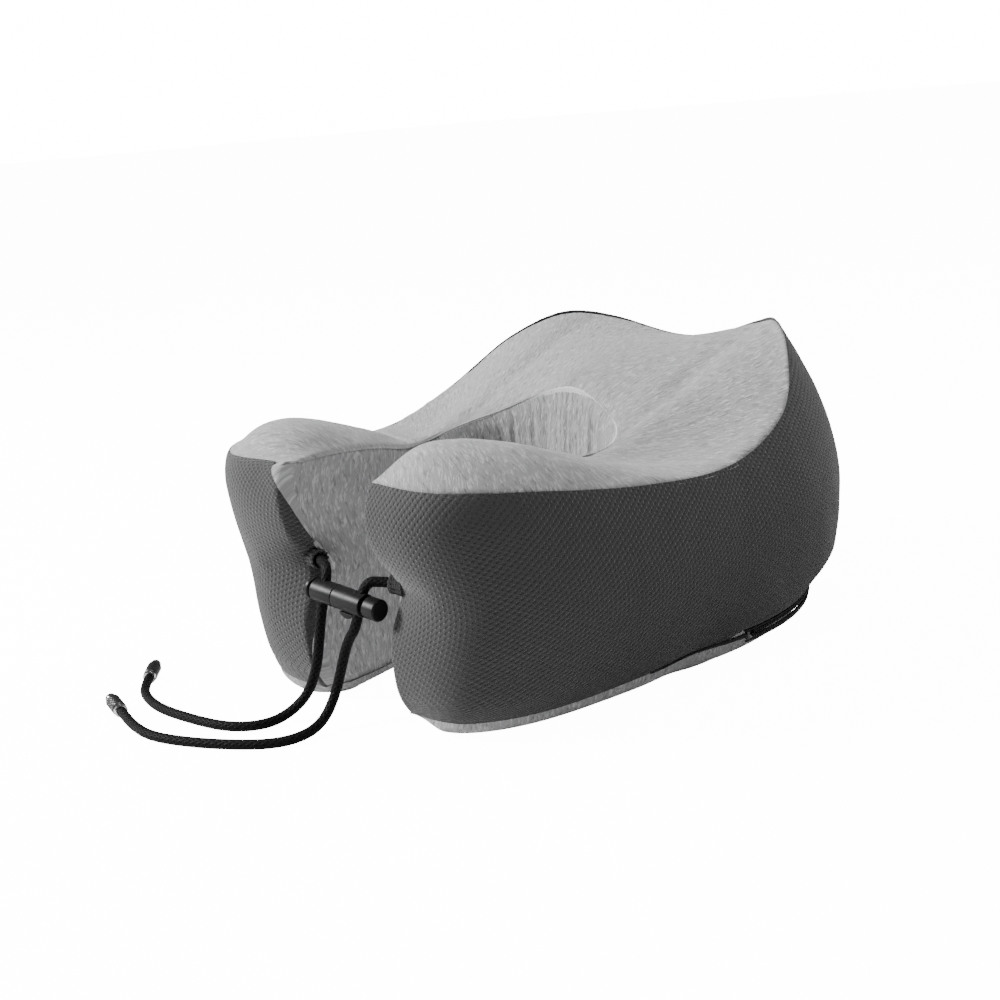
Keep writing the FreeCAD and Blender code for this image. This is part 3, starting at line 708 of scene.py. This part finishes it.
def mouth_pull(place, depth):
    """The cloth draws in round each cord's mouth, in rays."""
    pull = 0.0
    for mouth in (LEFT_MOUTH, RIGHT_MOUTH):
        away = place - mouth
        rays = 1 + 0.35 * math.cos(9 * math.atan2(away.z, away.x + away.y))
        pull -= depth * math.exp(-(away.length / 9) ** 2) * rays
    return pull


def side_shift(place, s, w, rim, spread):
    slow = 0.7 * wobble(*(place / 45)) + 0.3 * wobble(*(place / 16))
    waist = 0.35 * wobble(place.x / 30, place.y / 30, place.z / 4.5) * ramp(abs(s), 0.8, 1.0)
    edge = min(rim / 8, 1)
    return (seam_shape(rim, spread, 0.2) + (slow + waist * bump(place.z, WAIST_Z, 14)) * edge
            + mouth_pull(place, 1.6))


def top_shift(place, s, w, rim, spread):
    slow = 0.9 * wobble(*(place / 38)) + 0.35 * wobble(*(place / 15))
    warp = 2.2 * wobble(place.x / 26, place.y / 26, 5.0)
    crease = bump(abs(s), 0.37, 0.085) * bump(w, 0.32, 0.28)
    wrinkle = 0.75 * crease * wobble(spread / 3.4 + w * 3, w * 2 + warp * 0.3, 2.0)
    valley = -2.8 * bump(abs(s), 0.34 - 0.16 * w, 0.034) * bump(w, 0.5, 0.42)
    tuck = 0.8 * bump(abs(s), 0.9, 0.07) * wobble(spread / 3.2, 7.0, 1.0) * bump(w, 0, 10 / 45)
    at_neck = ramp(0.5 - w, 0.0, 0.1) * ramp(1 - abs(s), 0.35, 0.6)
    return seam_shape(rim, spread, mix(1.2, 0.25, at_neck)) + (slow + wrinkle + valley + tuck) * min(rim / 7, 1)


def neck_shift(place, s, w, rim, spread):
    slow = 0.6 * wobble(*(place / 34)) + 0.3 * wobble(*(place / 13))
    back = ramp(1 - abs(s), 0.62, 0.78)
    height = bump(w, 0.78, 0.36)
    warp = 1.6 * wobble(spread / 11, place.z / 60, 1.0)
    gather = back * height * (1.05 * wobble(spread / 2.9, warp * 0.4, 1.0)
                              + 0.15 * wobble(spread / 1.4, warp, 4.0))
    arm = 0.35 * ramp(abs(s), 0.5, 0.8) * wobble(spread / 5, place.z / 40, 2.0)
    soft = back * ramp(w, 0.4, 0.6)
    return (seam_shape(rim, spread, mix(1.0, 0.25, soft)) + (slow + gather + arm) * min(rim / 5, 1)
            + mouth_pull(place, 1.2))


def under_shift(place, s, w, rim, spread):
    return seam_shape(rim, spread, 0.6)


for key, shift in (("side", side_shift), ("top", top_shift), ("neck", neck_shift), ("under", under_shift)):
    work_cloth(panels[key], shift)
    print(key, "panel worked:", len(panels[key].data.vertices), "points")

# %% [markdown]
# ## Closing each panel
# Cloth has a thickness, and a closed shell prints and renders well from both sides. Solidify gives every
# panel a wall on its inner side, with the rim filled in. Towards the seams, where real cloth is folded flat,
# the wall thins out, so that two panels don't cut into each other.

# %% Thickness and rides
CLOTH_THICKNESS = 1.6
for key, slot, node, fill in (("side", "dark_mesh", "cover_outer_panel", 0.8),
                              ("top", "light_knit", "cover_top_panel", 0.8),
                              ("neck", "light_knit", "cover_inner_panel", 0.7),
                              ("under", "light_knit", "cover_bottom_panel", 0.6)):
    piece = panels[key]
    rims = point_values(piece.data, "rim")
    hem = piece.vertex_groups.new(name="hem")
    for index, rim in enumerate(rims):
        hem.add([index], min(1.0, 0.12 + float(rim) / 5), "REPLACE")
    wall = piece.modifiers.new("thickness", "SOLIDIFY")
    wall.thickness = CLOTH_THICKNESS * MM
    wall.offset = -1
    wall.vertex_group = "hem"
    wall.use_rim = True
    apply_modifiers(piece)
    smooth(piece, 50)
    finish_piece(piece, "pillow", slot, node)

# %% [markdown]
# ## Gathered eyelets
# Each cord leaves its arm through a small sleeve of the dark cloth, gathered by a thread. It is a short
# cone with a hole, so we turn a profile that goes up the outside and back down the inside, and then press
# pleats into its outer face.

# %% Eyelets
def gather(piece, start, way, pleats, depth):
    """Presses pleats into a turned sleeve, but not into its hole."""
    side = way.orthogonal().normalized()
    up = way.cross(side)
    for vertex in piece.data.vertices:
        place = (vertex.co - start) / MM
        height = place.dot(way)
        out = place - way * height
        angle = math.atan2(out.dot(up), out.dot(side))
        press = depth * (0.5 + 0.5 * math.cos(pleats * angle)) * ramp(out.length, 3.9, 4.4)
        vertex.co -= out.normalized() * press * MM


SLEEVE = [(3.3, 0.0), (5.6, 0.0), (5.5, 1.2), (5.2, 2.6), (4.9, 4.0), (4.8, 5.2), (5.0, 6.1), (4.9, 6.8),
          (4.5, 7.3), (3.9, 7.4), (3.3, 7.1), (3.1, 6.2), (3.05, 4.0), (3.05, 0.6)]
for side, mouth, way in (("left", LEFT_MOUTH, LEFT_WAY), ("right", RIGHT_MOUTH, RIGHT_WAY)):
    way = way.normalized()
    start = (mouth - way * 4.4) * MM
    sleeve = turned("gathered_eyelet_" + side, SLEEVE, start, way, 96)
    gather(sleeve, start, way, 13, 0.8)
    smooth(sleeve, 60)
    finish_piece(sleeve, "pillow", "dark_mesh", "cord_exit_" + side)
    sleeve["finish"] = "gathered_mesh"

# %% [markdown]
# ## The zip
# A coil zip has a row of small nylon loops on each tape. One tooth is a block with rounded edges; it is
# modelled once and copied round the arc, half a step apart on the two tapes so that the rows mesh. Past
# each end of the zip a thin bound edge carries the seam on towards the arm.

# %% Teeth
TOOTH_PITCH, TOOTH_SIZE = 1.5, (0.95, 1.5, 1.35)
TEETH_END = 98.0


def make_tooth():
    clear_selection()
    bpy.ops.mesh.primitive_cube_add(size=1)
    tooth = bpy.context.object
    tooth.scale = [size * MM for size in TOOTH_SIZE]
    bpy.ops.object.transform_apply(scale=True)
    edge = tooth.modifiers.new("rounding", "BEVEL")
    edge.width = 0.28 * MM
    edge.segments = 2
    apply_modifiers(tooth)
    return tooth


def tooth_row(name, height, shift):
    """Copies the tooth round the zip's arc and joins the copies into one piece."""
    tooth = make_tooth()
    base = np.array([tuple(v.co) for v in tooth.data.vertices])
    shapes = [tuple(p.vertices) for p in tooth.data.polygons]
    bpy.data.objects.remove(tooth)
    count = int(math.radians(2 * TEETH_END) * ZIP_R / TOOTH_PITCH)
    verts, faces = [], []
    for k in range(count):
        angle = math.radians(-TEETH_END) + (k + shift) * TOOTH_PITCH / ZIP_R
        out = np.array([math.sin(angle), math.cos(angle), 0])
        side = np.array([math.cos(angle), -math.sin(angle), 0])
        centre = (np.array(tuple(ZIP_CENTRE)) + out * (ZIP_R - 0.15) + (0, 0, ZIP_Z + height)) * MM
        faces += [tuple(len(verts) + i for i in reversed(f)) for f in shapes]
        verts += list(centre + base @ np.array([side, out, (0, 0, 1)]))
    mesh = bpy.data.meshes.new(name)
    mesh.from_pydata(verts, [], faces)
    piece = add_object(name, mesh)
    face_outwards(piece)
    smooth(piece, 40)
    return piece


for name, height, shift in (("upper", 1.2, 0.0), ("lower", -1.2, 0.5)):
    row = tooth_row("coil_teeth_" + name, height, shift)
    finish_piece(row, "pillow", "zip_teeth", "zipper_teeth_" + name)

# %% Bound edges past the zip's ends
def seam_line(side, start, end):
    """Points on the low seam of the cover, from one angle round the zip's centre to another."""
    points = []
    for s in np.linspace(0.3, 0.95, 400):
        p = wall_point(s, along(LOW_SEAM_Z, s), 0.3)
        if start <= zip_angle(p) <= end:
            points.append(Vector((side * p.x, p.y, p.z)) * MM)
    return points


for side, label in ((1, "right"), (-1, "left")):
    line = seam_line(side, 99.0, 127.0)
    binding, points = make_tube("bound_edge_" + label, line, 1.0 * MM, 12, 1.5 * MM)
    start, end = points[0], points[-1]
    for vertex in binding.data.vertices:
        nearest = min(points, key=lambda p: (p - vertex.co).length)
        thin = 1 - 0.75 * (nearest - start).length / (end - start).length
        vertex.co = nearest + (vertex.co - nearest) * max(thin, 0.2)
    finish_piece(binding, "pillow", "zip_tape")

# %% [markdown]
# ## The cord lock
# Moulded plastic never has a truly sharp edge, and it is the thin highlight along a rounded edge that makes
# a part look moulded. The plain parts of the lock are copied, their flat faces are merged into one each, and
# a bevel modifier rounds every edge by a fraction of a millimetre.

# %% Rounded copies of the lock's parts
def rounded(node, body, slot, width, name):
    """A copy of a CAD part with its edges rounded by a width in millimetres."""
    source = bpy.data.objects[node]
    mesh = source.data.copy()
    mesh.transform(source.matrix_world)
    mesh.materials.clear()
    choose(add_object(name, mesh))
    piece = bpy.context.object
    bpy.ops.object.mode_set(mode="EDIT")
    bpy.ops.mesh.select_all(action="SELECT")
    bpy.ops.mesh.remove_doubles(threshold=0.004 * MM)
    bpy.ops.mesh.dissolve_limited(angle_limit=math.radians(1.5))
    bpy.ops.object.mode_set(mode="OBJECT")
    edge = piece.modifiers.new("rounding", "BEVEL")
    edge.width = width * MM
    edge.segments = 3
    edge.limit_method = "ANGLE"
    edge.angle_limit = math.radians(32)
    apply_modifiers(piece)
    smooth(piece, 40)
    finish_piece(piece, body, slot, node)


for node, body, width, name in (("lock_socket_half", "pillow", 0.35, "moulded_socket_half"),
                                ("lock_plug_half", "lock_plug", 0.35, "moulded_plug_half"),
                                ("lock_button_left", "button_left", 0.45, "moulded_button_left"),
                                ("lock_button_right", "button_right", 0.45, "moulded_button_right"),
                                ("lock_release_tab", "release_tab", 0.3, "moulded_release_tab")):
    rounded(node, body, "lock_plastic", width, name)

# %% [markdown]
# ## Finishes: how the node groups are built
# Several finishes need the same effects, so each effect is a shader node group with named inputs and
# outputs, built once and placed in many materials. A group only puts out masks and heights; the material
# turns them into a colour, a roughness and a bump. All patterns are measured in metres, in Object
# coordinates or on the cloth's own UV map, so their scale is the real one.

# %% Node helpers
def add_node(tree, kind, links=None, **settings):
    """Adds a node. links maps an input (name or number) to a value or to another node's output."""
    item = tree.nodes.new(kind)
    for key, value in settings.items():
        setattr(item, key, value)
    for key, value in (links or {}).items():
        if isinstance(value, bpy.types.NodeSocket):
            tree.links.new(value, item.inputs[key])
        else:
            item.inputs[key].default_value = value
    return item


def calc(tree, operation, a, b=0.0, c=0.0):
    """One arithmetic step."""
    return add_node(tree, "ShaderNodeMath", {0: a, 1: b, 2: c}, operation=operation).outputs[0]


def blend_colors(tree, mask, a, b):
    return add_node(tree, "ShaderNodeMix", {0: mask, 6: a, 7: b}, data_type="RGBA").outputs[2]


def soft_step(tree, value, low, high):
    """0 below low, 1 above high."""
    return add_node(tree, "ShaderNodeMapRange", {0: value, 1: low, 2: high, 3: 0.0, 4: 1.0},
                    interpolation_type="SMOOTHSTEP").outputs[0]


def noise_mask(tree, place, scale, detail=2.0, roughness=0.5, stretch=(1, 1, 1), turn=0.0):
    """Noise whose grain may be drawn out and turned."""
    turned_place = add_node(tree, "ShaderNodeMapping", {"Vector": place, "Rotation": (0, 0, turn)})
    drawn = add_node(tree, "ShaderNodeMapping", {"Vector": turned_place.outputs[0], "Scale": stretch})
    return add_node(tree, "ShaderNodeTexNoise", {"Vector": drawn.outputs[0], "Scale": scale,
                                                 "Detail": detail, "Roughness": roughness}).outputs[0]


def new_group(name, inputs, outputs):
    """An empty shader group. inputs and outputs map a name to a socket kind and a default value."""
    tree = bpy.data.node_groups.new(name, "ShaderNodeTree")
    kinds = {"number": "NodeSocketFloat", "vector": "NodeSocketVector", "color": "NodeSocketColor"}
    for label, (kind, default) in inputs.items():
        socket = tree.interface.new_socket(label, in_out="INPUT", socket_type=kinds[kind])
        if default is not None:
            socket.default_value = default
    for label, kind in outputs.items():
        tree.interface.new_socket(label, in_out="OUTPUT", socket_type=kinds[kind])
    return tree, tree.nodes.new("NodeGroupInput").outputs, tree.nodes.new("NodeGroupOutput")


def send(tree, out, **values):
    """Links values to the outputs of the group that have their names."""
    for label, value in values.items():
        tree.links.new(value, out.inputs[label])


def use_group(tree, group, links):
    return add_node(tree, "ShaderNodeGroup", links, node_tree=group).outputs

# %% [markdown]
# ## Heather knit
# Heather cloth is knitted from light and dark fibres spun together, then brushed. From arm's length it is
# an even grey; closer, it shows short pale and dark streaks that follow the knit, and a fine fuzz. Three
# sets of drawn out noise, turned a little from each other, give the streaks.

# %% Group: heather fibres
def build_heather():
    tree, given, out = new_group(
        "heather fibres", {"Place": ("vector", None), "Streak size": ("number", 1.0)},
        {"Pale": "number", "Dark": "number", "Height": "number"})
    place = add_node(tree, "ShaderNodeVectorMath", {0: given["Place"], 1: given["Streak size"]},
                     operation="SCALE")
    tree.links.new(given["Streak size"], place.inputs["Scale"])
    place = place.outputs[0]
    first = noise_mask(tree, place, 1.0, 3.0, 0.6, (1000, 150, 1), 0.14)
    second = noise_mask(tree, place, 1.0, 3.0, 0.6, (860, 120, 1), -0.12)
    third = noise_mask(tree, place, 1.0, 2.0, 0.6, (620, 170, 1), 0.34)
    fuzz = noise_mask(tree, place, 2600, 2.0)
    pale = calc(tree, "MAXIMUM", soft_step(tree, first, 0.50, 0.66), soft_step(tree, third, 0.54, 0.70))
    dark = soft_step(tree, second, 0.51, 0.68)
    height = calc(tree, "MULTIPLY_ADD", pale, 0.6, fuzz)
    height = calc(tree, "SUBTRACT", height, calc(tree, "MULTIPLY", dark, 0.5))
    send(tree, out, Pale=pale, Dark=dark, Height=height)
    return tree


HEATHER = build_heather()
print("group:", HEATHER.name, len(HEATHER.nodes), "nodes")

# %% [markdown]
# ## Spacer mesh
# The side wall is a thick knit with rows of small slots that let air through. The rows climb at an angle,
# each slot sits between two of the next row, and the cloth stands up a little between them. We turn the
# UV map to the rows' angle, count cells, shift every second row by half a cell and draw one slot a cell.
# The finish colours each slot darker than the cloth round it: painted shade in the slot's hollow.

# %% Group: rows of slots
def build_slots():
    tree, given, out = new_group(
        "rows of slots", {"Place": ("vector", None), "Cell": ("number", 0.003), "Row": ("number", 0.003),
                          "Angle": ("number", 0.5)},
        {"Slot": "number", "Height": "number"})
    turned_place = add_node(tree, "ShaderNodeVectorRotate", {"Vector": given["Place"], "Angle": given["Angle"]},
                            rotation_type="Z_AXIS")
    split = add_node(tree, "ShaderNodeSeparateXYZ", {0: turned_place.outputs[0]})
    drift = noise_mask(tree, given["Place"], 120, 1.0)
    row = calc(tree, "DIVIDE", split.outputs[1], given["Row"])
    row = calc(tree, "MULTIPLY_ADD", calc(tree, "SUBTRACT", drift, 0.5), 0.5, row)
    odd = calc(tree, "MODULO", calc(tree, "FLOOR", row), 2.0)
    cell = calc(tree, "DIVIDE", split.outputs[0], given["Cell"])
    cell = calc(tree, "MULTIPLY_ADD", odd, 0.5, cell)
    across = calc(tree, "SUBTRACT", calc(tree, "FRACT", cell), 0.5)
    up = calc(tree, "SUBTRACT", calc(tree, "FRACT", row), 0.5)
    across = calc(tree, "POWER", calc(tree, "DIVIDE", calc(tree, "ABSOLUTE", across), 0.36), 2.0)
    up = calc(tree, "POWER", calc(tree, "DIVIDE", calc(tree, "ABSOLUTE", up), 0.26), 2.0)
    slot = soft_step(tree, calc(tree, "ADD", across, up), 1.5, 0.35)
    yarn = noise_mask(tree, given["Place"], 1900, 2.0)
    height = calc(tree, "MULTIPLY_ADD", slot, -1.0, calc(tree, "MULTIPLY", yarn, 0.35))
    send(tree, out, Slot=slot, Height=height)
    return tree


SLOTS = build_slots()
print("group:", SLOTS.name, len(SLOTS.nodes), "nodes")

# %% [markdown]
# ## Shared small effects
# Dust and lint settle on faces that look up. A moulded or cast part has a fine grain and is rubbed paler
# on its outer edges. A woven tape or a braided cord is two sets of yarns that cross.

# %% Groups: dust, grain and wear
def build_dust():
    tree, given, out = new_group(
        "settled dust", {"Place": ("vector", None), "Amount": ("number", 0.3)}, {"Dust": "number"})
    normal = add_node(tree, "ShaderNodeNewGeometry").outputs["Normal"]
    up = add_node(tree, "ShaderNodeSeparateXYZ", {0: normal}).outputs[2]
    speck = soft_step(tree, noise_mask(tree, given["Place"], 900, 3.0, 0.7), 0.5, 0.75)
    cloud = noise_mask(tree, given["Place"], 45, 3.0)
    amount = calc(tree, "MULTIPLY", calc(tree, "MULTIPLY", speck, cloud), soft_step(tree, up, -0.2, 0.9))
    send(tree, out, Dust=calc(tree, "MULTIPLY", amount, given["Amount"]))
    return tree


def build_grain():
    tree, given, out = new_group(
        "fine grain", {"Place": ("vector", None), "Size": ("number", 0.0004)},
        {"Height": "number", "Patches": "number"})
    scale = calc(tree, "DIVIDE", 1.0, given["Size"])
    grain = add_node(tree, "ShaderNodeTexNoise", {"Vector": given["Place"], "Scale": scale, "Detail": 2.0})
    send(tree, out, Height=grain.outputs[0], Patches=noise_mask(tree, given["Place"], 160, 4.0, 0.6))
    return tree


def build_wear():
    tree, given, out = new_group(
        "edge wear", {"Place": ("vector", None), "Start": ("number", 0.53)}, {"Wear": "number"})
    sharp = add_node(tree, "ShaderNodeNewGeometry").outputs["Pointiness"]
    edge = add_node(tree, "ShaderNodeMapRange", {0: sharp, 1: given["Start"], 2: 0.62}).outputs[0]
    broken = soft_step(tree, noise_mask(tree, given["Place"], 700, 4.0, 0.7), 0.40, 0.65)
    send(tree, out, Wear=calc(tree, "MULTIPLY", edge, broken))
    return tree


DUST, GRAIN, WEAR = build_dust(), build_grain(), build_wear()
print("groups:", DUST.name + ",", GRAIN.name + ",", WEAR.name)

# %% Group: crossing yarns
def build_yarns():
    tree, given, out = new_group(
        "crossing yarns", {"Place": ("vector", None), "Wide": ("number", 0.0019), "Long": ("number", 0.0036)},
        {"Height": "number", "Groove": "number"})
    split = add_node(tree, "ShaderNodeSeparateXYZ", {0: given["Place"]})
    turns = 2 * math.pi
    a = calc(tree, "MULTIPLY", calc(tree, "DIVIDE", split.outputs[0], given["Wide"]), turns)
    b = calc(tree, "MULTIPLY", calc(tree, "DIVIDE", split.outputs[1], given["Long"]), turns)
    rising = calc(tree, "SINE", calc(tree, "ADD", a, b))
    falling = calc(tree, "SINE", calc(tree, "SUBTRACT", a, b))
    height = calc(tree, "MAXIMUM", rising, falling)
    fray = noise_mask(tree, given["Place"], 3000, 2.0)
    # The groove mask marks the hollows between the yarns, which the materials darken as painted shade.
    send(tree, out, Height=calc(tree, "MULTIPLY_ADD", fray, 0.5, height),
         Groove=soft_step(tree, height, 0.35, -0.4))
    return tree


YARNS = build_yarns()
print("group:", YARNS.name)

# %% [markdown]
# ## The materials
# Each material starts from Object coordinates or from the piece's UV map, places the groups it needs and
# feeds the Principled shader. What is the same all over, such as sheen or coat, is set on the shader.

# %% Material helpers
def new_finish(name, uv=None, **constants):
    """A material with its shader, and the place that its patterns read."""
    finish = bpy.data.materials.new(name)
    finish.use_nodes = True
    tree = finish.node_tree
    shader = tree.nodes["Principled BSDF"]
    for label, value in constants.items():
        shader.inputs[label.replace("_", " ")].default_value = value
    if uv:
        place = add_node(tree, "ShaderNodeUVMap", uv_map=uv).outputs[0]
    else:
        place = add_node(tree, "ShaderNodeTexCoord").outputs["Object"]
    return finish, tree, shader, place


def feed(tree, shader, color, roughness, height, distance):
    """Links a colour and a roughness to the shader, and a height as a bump."""
    item = add_node(tree, "ShaderNodeBump", {"Height": height, "Distance": distance, "Strength": 1.0})
    for source, label in ((color, "Base Color"), (roughness, "Roughness"), (item.outputs[0], "Normal")):
        tree.links.new(source, shader.inputs[label])


def object_place(tree):
    return add_node(tree, "ShaderNodeTexCoord").outputs["Object"]


def grey(value, tint=0.0):
    """A grey, slightly bluish where tint is above 0."""
    return (value * (1 - tint), value * (1 - tint * 0.8), value * (1 + tint), 1)

# %% Cloths
def panel_cloth(name, group, links, tones, marks, patch, dust, rough, depth, **constants):
    """A cover cloth: cloudy tones, the marks that its group draws, and dust. A mark may be the cloth's own
    streaks or painted shade, such as the darker slots of the spacer mesh. Each mark is (mask, share,
    colour); dust is (amount, colour)."""
    finish, tree, shader, place = new_finish(name, "cloth", **constants)
    drawn = use_group(tree, group, {"Place": place, **links})
    cloud = noise_mask(tree, object_place(tree), patch, 4.0, 0.6)
    color = blend_colors(tree, cloud, *tones)
    for mask, share, tone in marks:
        color = blend_colors(tree, calc(tree, "MULTIPLY", drawn[mask], share), color, tone)
    settled = use_group(tree, DUST, {"Place": object_place(tree), "Amount": dust[0]})["Dust"]
    color = blend_colors(tree, settled, color, dust[1])
    feed(tree, shader, color, calc(tree, "MULTIPLY_ADD", cloud, *rough), drawn["Height"], depth)
    return finish


def yarn_cloth(name, wide, long, tones, rough, depth, uv=None, dust=None, **constants):
    """A braid, weave or tight knit: crossing yarns, with painted shade darkening the grooves between them."""
    finish, tree, shader, place = new_finish(name, uv, **constants)
    yarns = use_group(tree, YARNS, {"Place": place, "Wide": wide, "Long": long})
    # The grooves take the second, darker tone: painted shade between the yarns.
    color = blend_colors(tree, yarns["Groove"], *tones)
    if dust:
        settled = use_group(tree, DUST, {"Place": object_place(tree), "Amount": dust})["Dust"]
        color = blend_colors(tree, settled, color, grey(0.2))
    feed(tree, shader, color, calc(tree, "MULTIPLY_ADD", yarns["Groove"], *rough), yarns["Height"], depth)
    return finish


finishes = {
    "light_knit": panel_cloth(
        "heather knit", HEATHER, {"Streak size": 1.0}, (grey(0.28, 0.01), grey(0.35, 0.012)),
        (("Pale", 0.62, grey(0.66, 0.005)), ("Dark", 0.62, grey(0.13, 0.02))), 38, (0.25, grey(0.6)),
        (0.12, 0.84), 0.0003, Sheen_Weight=0.35, Sheen_Roughness=0.5, Specular_IOR_Level=0.2),
    # The spacer mesh's slots take a darker colour, grey 0.012: painted shade in the slot hollows.
    "dark_mesh": panel_cloth(
        "spacer mesh", SLOTS, {"Cell": 0.0030, "Row": 0.0022, "Angle": 0.50},
        (grey(0.042, 0.02), grey(0.054, 0.02)), (("Slot", 0.22, grey(0.012, 0.03)),), 30, (0.2, grey(0.3)),
        (0.15, 0.75), 0.0005, Sheen_Weight=0.25, Sheen_Roughness=0.45, Specular_IOR_Level=0.25),
    # In each yarn cloth the second, darker tone is painted shade in the grooves between the yarns.
    "cord_braid": yarn_cloth("black braid", 0.00188, 0.0034, (grey(0.0045, 0.02), grey(0.0015)), (0.25, 0.5),
                             0.00013, "along", 0.12, Sheen_Weight=0.0, Specular_IOR_Level=0.08),
    "zip_tape": yarn_cloth("zip tape weave", 0.0011, 0.0011, (grey(0.022, 0.02), grey(0.006)), (0.2, 0.65),
                           0.00012, Specular_IOR_Level=0.3),
    "gathered_mesh": yarn_cloth("gathered mesh", 0.0011, 0.0013, (grey(0.03, 0.02), grey(0.008)), (0.15, 0.75),
                                0.0002, Sheen_Weight=0.1, Specular_IOR_Level=0.2),
    "liner": yarn_cloth("liner knit", 0.0012, 0.0016, (grey(0.7), grey(0.5)), (0.1, 0.8), 0.0001,
                        Sheen_Weight=0.2)}
print("cloth finishes:", len(finishes))

# %% Plastics and metals
PLASTIC = {"size": 0.0003, "tint": 0.02, "patch": 1.35, "wear": 0.5, "worn": 4.0, "spread": 0.16,
           "depth": 0.00003, "dust": 0.15}
METAL = {"size": 0.0006, "tint": 0.01, "patch": 0.85, "wear": 0.4, "worn": 1.6, "spread": 0.14,
         "depth": 0.00001, "dust": 0.0}


def hard_finish(name, kind, tone, roughness, **constants):
    """A plastic or a metal: faint patches, a fine grain and edges rubbed paler."""
    finish, tree, shader, place = new_finish(name, **constants)
    texture = use_group(tree, GRAIN, {"Place": place, "Size": kind["size"]})
    wear = use_group(tree, WEAR, {"Place": place, "Start": 0.53})["Wear"]
    color = blend_colors(tree, texture["Patches"], grey(tone, kind["tint"]), grey(tone * kind["patch"], 0.02))
    color = blend_colors(tree, calc(tree, "MULTIPLY", wear, kind["wear"]), color,
                         grey(min(tone * kind["worn"], 0.95)))
    if kind["dust"]:
        dust = use_group(tree, DUST, {"Place": place, "Amount": kind["dust"]})["Dust"]
        color = blend_colors(tree, dust, color, grey(0.25))
    rough = calc(tree, "MULTIPLY_ADD", texture["Patches"], kind["spread"], roughness - kind["spread"] / 2)
    feed(tree, shader, color, rough, texture["Height"], kind["depth"])
    return finish


def foam_cells():
    finish, tree, shader, place = new_finish("memory foam", Subsurface_Weight=0.1, Specular_IOR_Level=0.2)
    cells = add_node(tree, "ShaderNodeTexVoronoi", {"Vector": place, "Scale": 700.0})
    cloud = noise_mask(tree, place, 30, 4.0)
    color = blend_colors(tree, cloud, (0.78, 0.74, 0.62, 1), (0.86, 0.83, 0.74, 1))
    rough = calc(tree, "MULTIPLY_ADD", cloud, 0.1, 0.85)
    feed(tree, shader, color, rough, cells.outputs["Distance"], 0.0003)
    return finish


for slot, name, tone, roughness in (("lock_plastic", "satin black plastic", 0.005, 0.42),
                                    ("zip_teeth", "nylon coil", 0.010, 0.45)):
    finishes[slot] = hard_finish(name, PLASTIC, tone, roughness, Coat_Weight=0.0, Coat_Roughness=0.25,
                                 Specular_IOR_Level=0.2)
for slot, name, tone, roughness, metallic in (("tip_dark", "black nickel", 0.06, 0.38, 0.8),
                                              ("tip_chrome", "bright chrome", 0.80, 0.14, 1.0),
                                              ("zip_metal", "gunmetal", 0.09, 0.34, 0.9),
                                              ("spring_steel", "spring steel", 0.55, 0.28, 1.0)):
    finishes[slot] = hard_finish(name, METAL, tone, roughness, Metallic=metallic)
finishes["foam"] = foam_cells()
print("finishes:", ", ".join(sorted(finishes)))

# %% [markdown]
# ## Dressing the pieces
# A new piece takes the finish of the slot it names. A CAD part that stays keeps its mesh, and its material
# slots get the same finish, found by the slot name that the frame gives them.

# %% Assign the finishes
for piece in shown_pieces():
    kind = piece.get("finish") or piece.get("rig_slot") or piece.data.materials[0].name.split(".")[0]
    if piece.data.materials:
        for place in range(len(piece.data.materials)):
            piece.data.materials[place] = finishes[kind]
    else:
        piece.data.materials.append(finishes[kind])
    print("%-24s %s" % (piece.name, finishes[kind].name))

# %% [markdown]
# ## Floor and light
# A pale sweep and soft lamps, as in a studio. The main lamp stands to the left and above, so the fronts of
# the arms are lit and the right side falls into shade.

# %% Floor
FLOOR_GLOW = 14.0
clear_selection()
bpy.ops.mesh.primitive_plane_add(size=60, location=(0, 0, -0.0004))
floor = bpy.context.object
floor.name = "studio_floor"
floor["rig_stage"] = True
paint = bpy.data.materials.new("pale floor")
paint.use_nodes = True
shader = paint.node_tree.nodes["Principled BSDF"]
shader.inputs["Base Color"].default_value = (0.8, 0.8, 0.8, 1)
shader.inputs["Roughness"].default_value = 0.8
shader.inputs["Emission Color"].default_value = (1, 1, 1, 1)
seen = add_node(paint.node_tree, "ShaderNodeLightPath").outputs["Is Camera Ray"]
paint.node_tree.links.new(calc(paint.node_tree, "MULTIPLY", seen, FLOOR_GLOW),
                          shader.inputs["Emission Strength"])
floor.data.materials.append(paint)

# %% Lamps
def lamp(name, place, energy, size, target=(0, 0, 0.07)):
    light = bpy.data.lights.new(name, "AREA")
    light.energy = energy
    light.size = size
    stand = add_object(name, light)
    stand.location = place
    stand.rotation_mode = "QUATERNION"
    stand.rotation_quaternion = (Vector(target) - Vector(place)).to_track_quat("-Z", "Y")


lamp("main lamp", (-1.15, -1.05, 1.0), 70, 0.45)
lamp("top lamp", (0.3, 0.2, 1.6), 21, 0.9)

world = bpy.data.worlds.new("studio")
world.use_nodes = True
sky = world.node_tree.nodes["Background"]
sky.inputs["Color"].default_value = (1, 1, 1, 1)
seen = add_node(world.node_tree, "ShaderNodeLightPath").outputs["Is Camera Ray"]
world.node_tree.links.new(calc(world.node_tree, "MULTIPLY_ADD", seen, 16.0, 0.11), sky.inputs["Strength"])
bpy.context.scene.world = world

# %% Measure and finish
low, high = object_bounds()
print("visual box:", [round(v, 4) for v in low], [round(v, 4) for v in high])
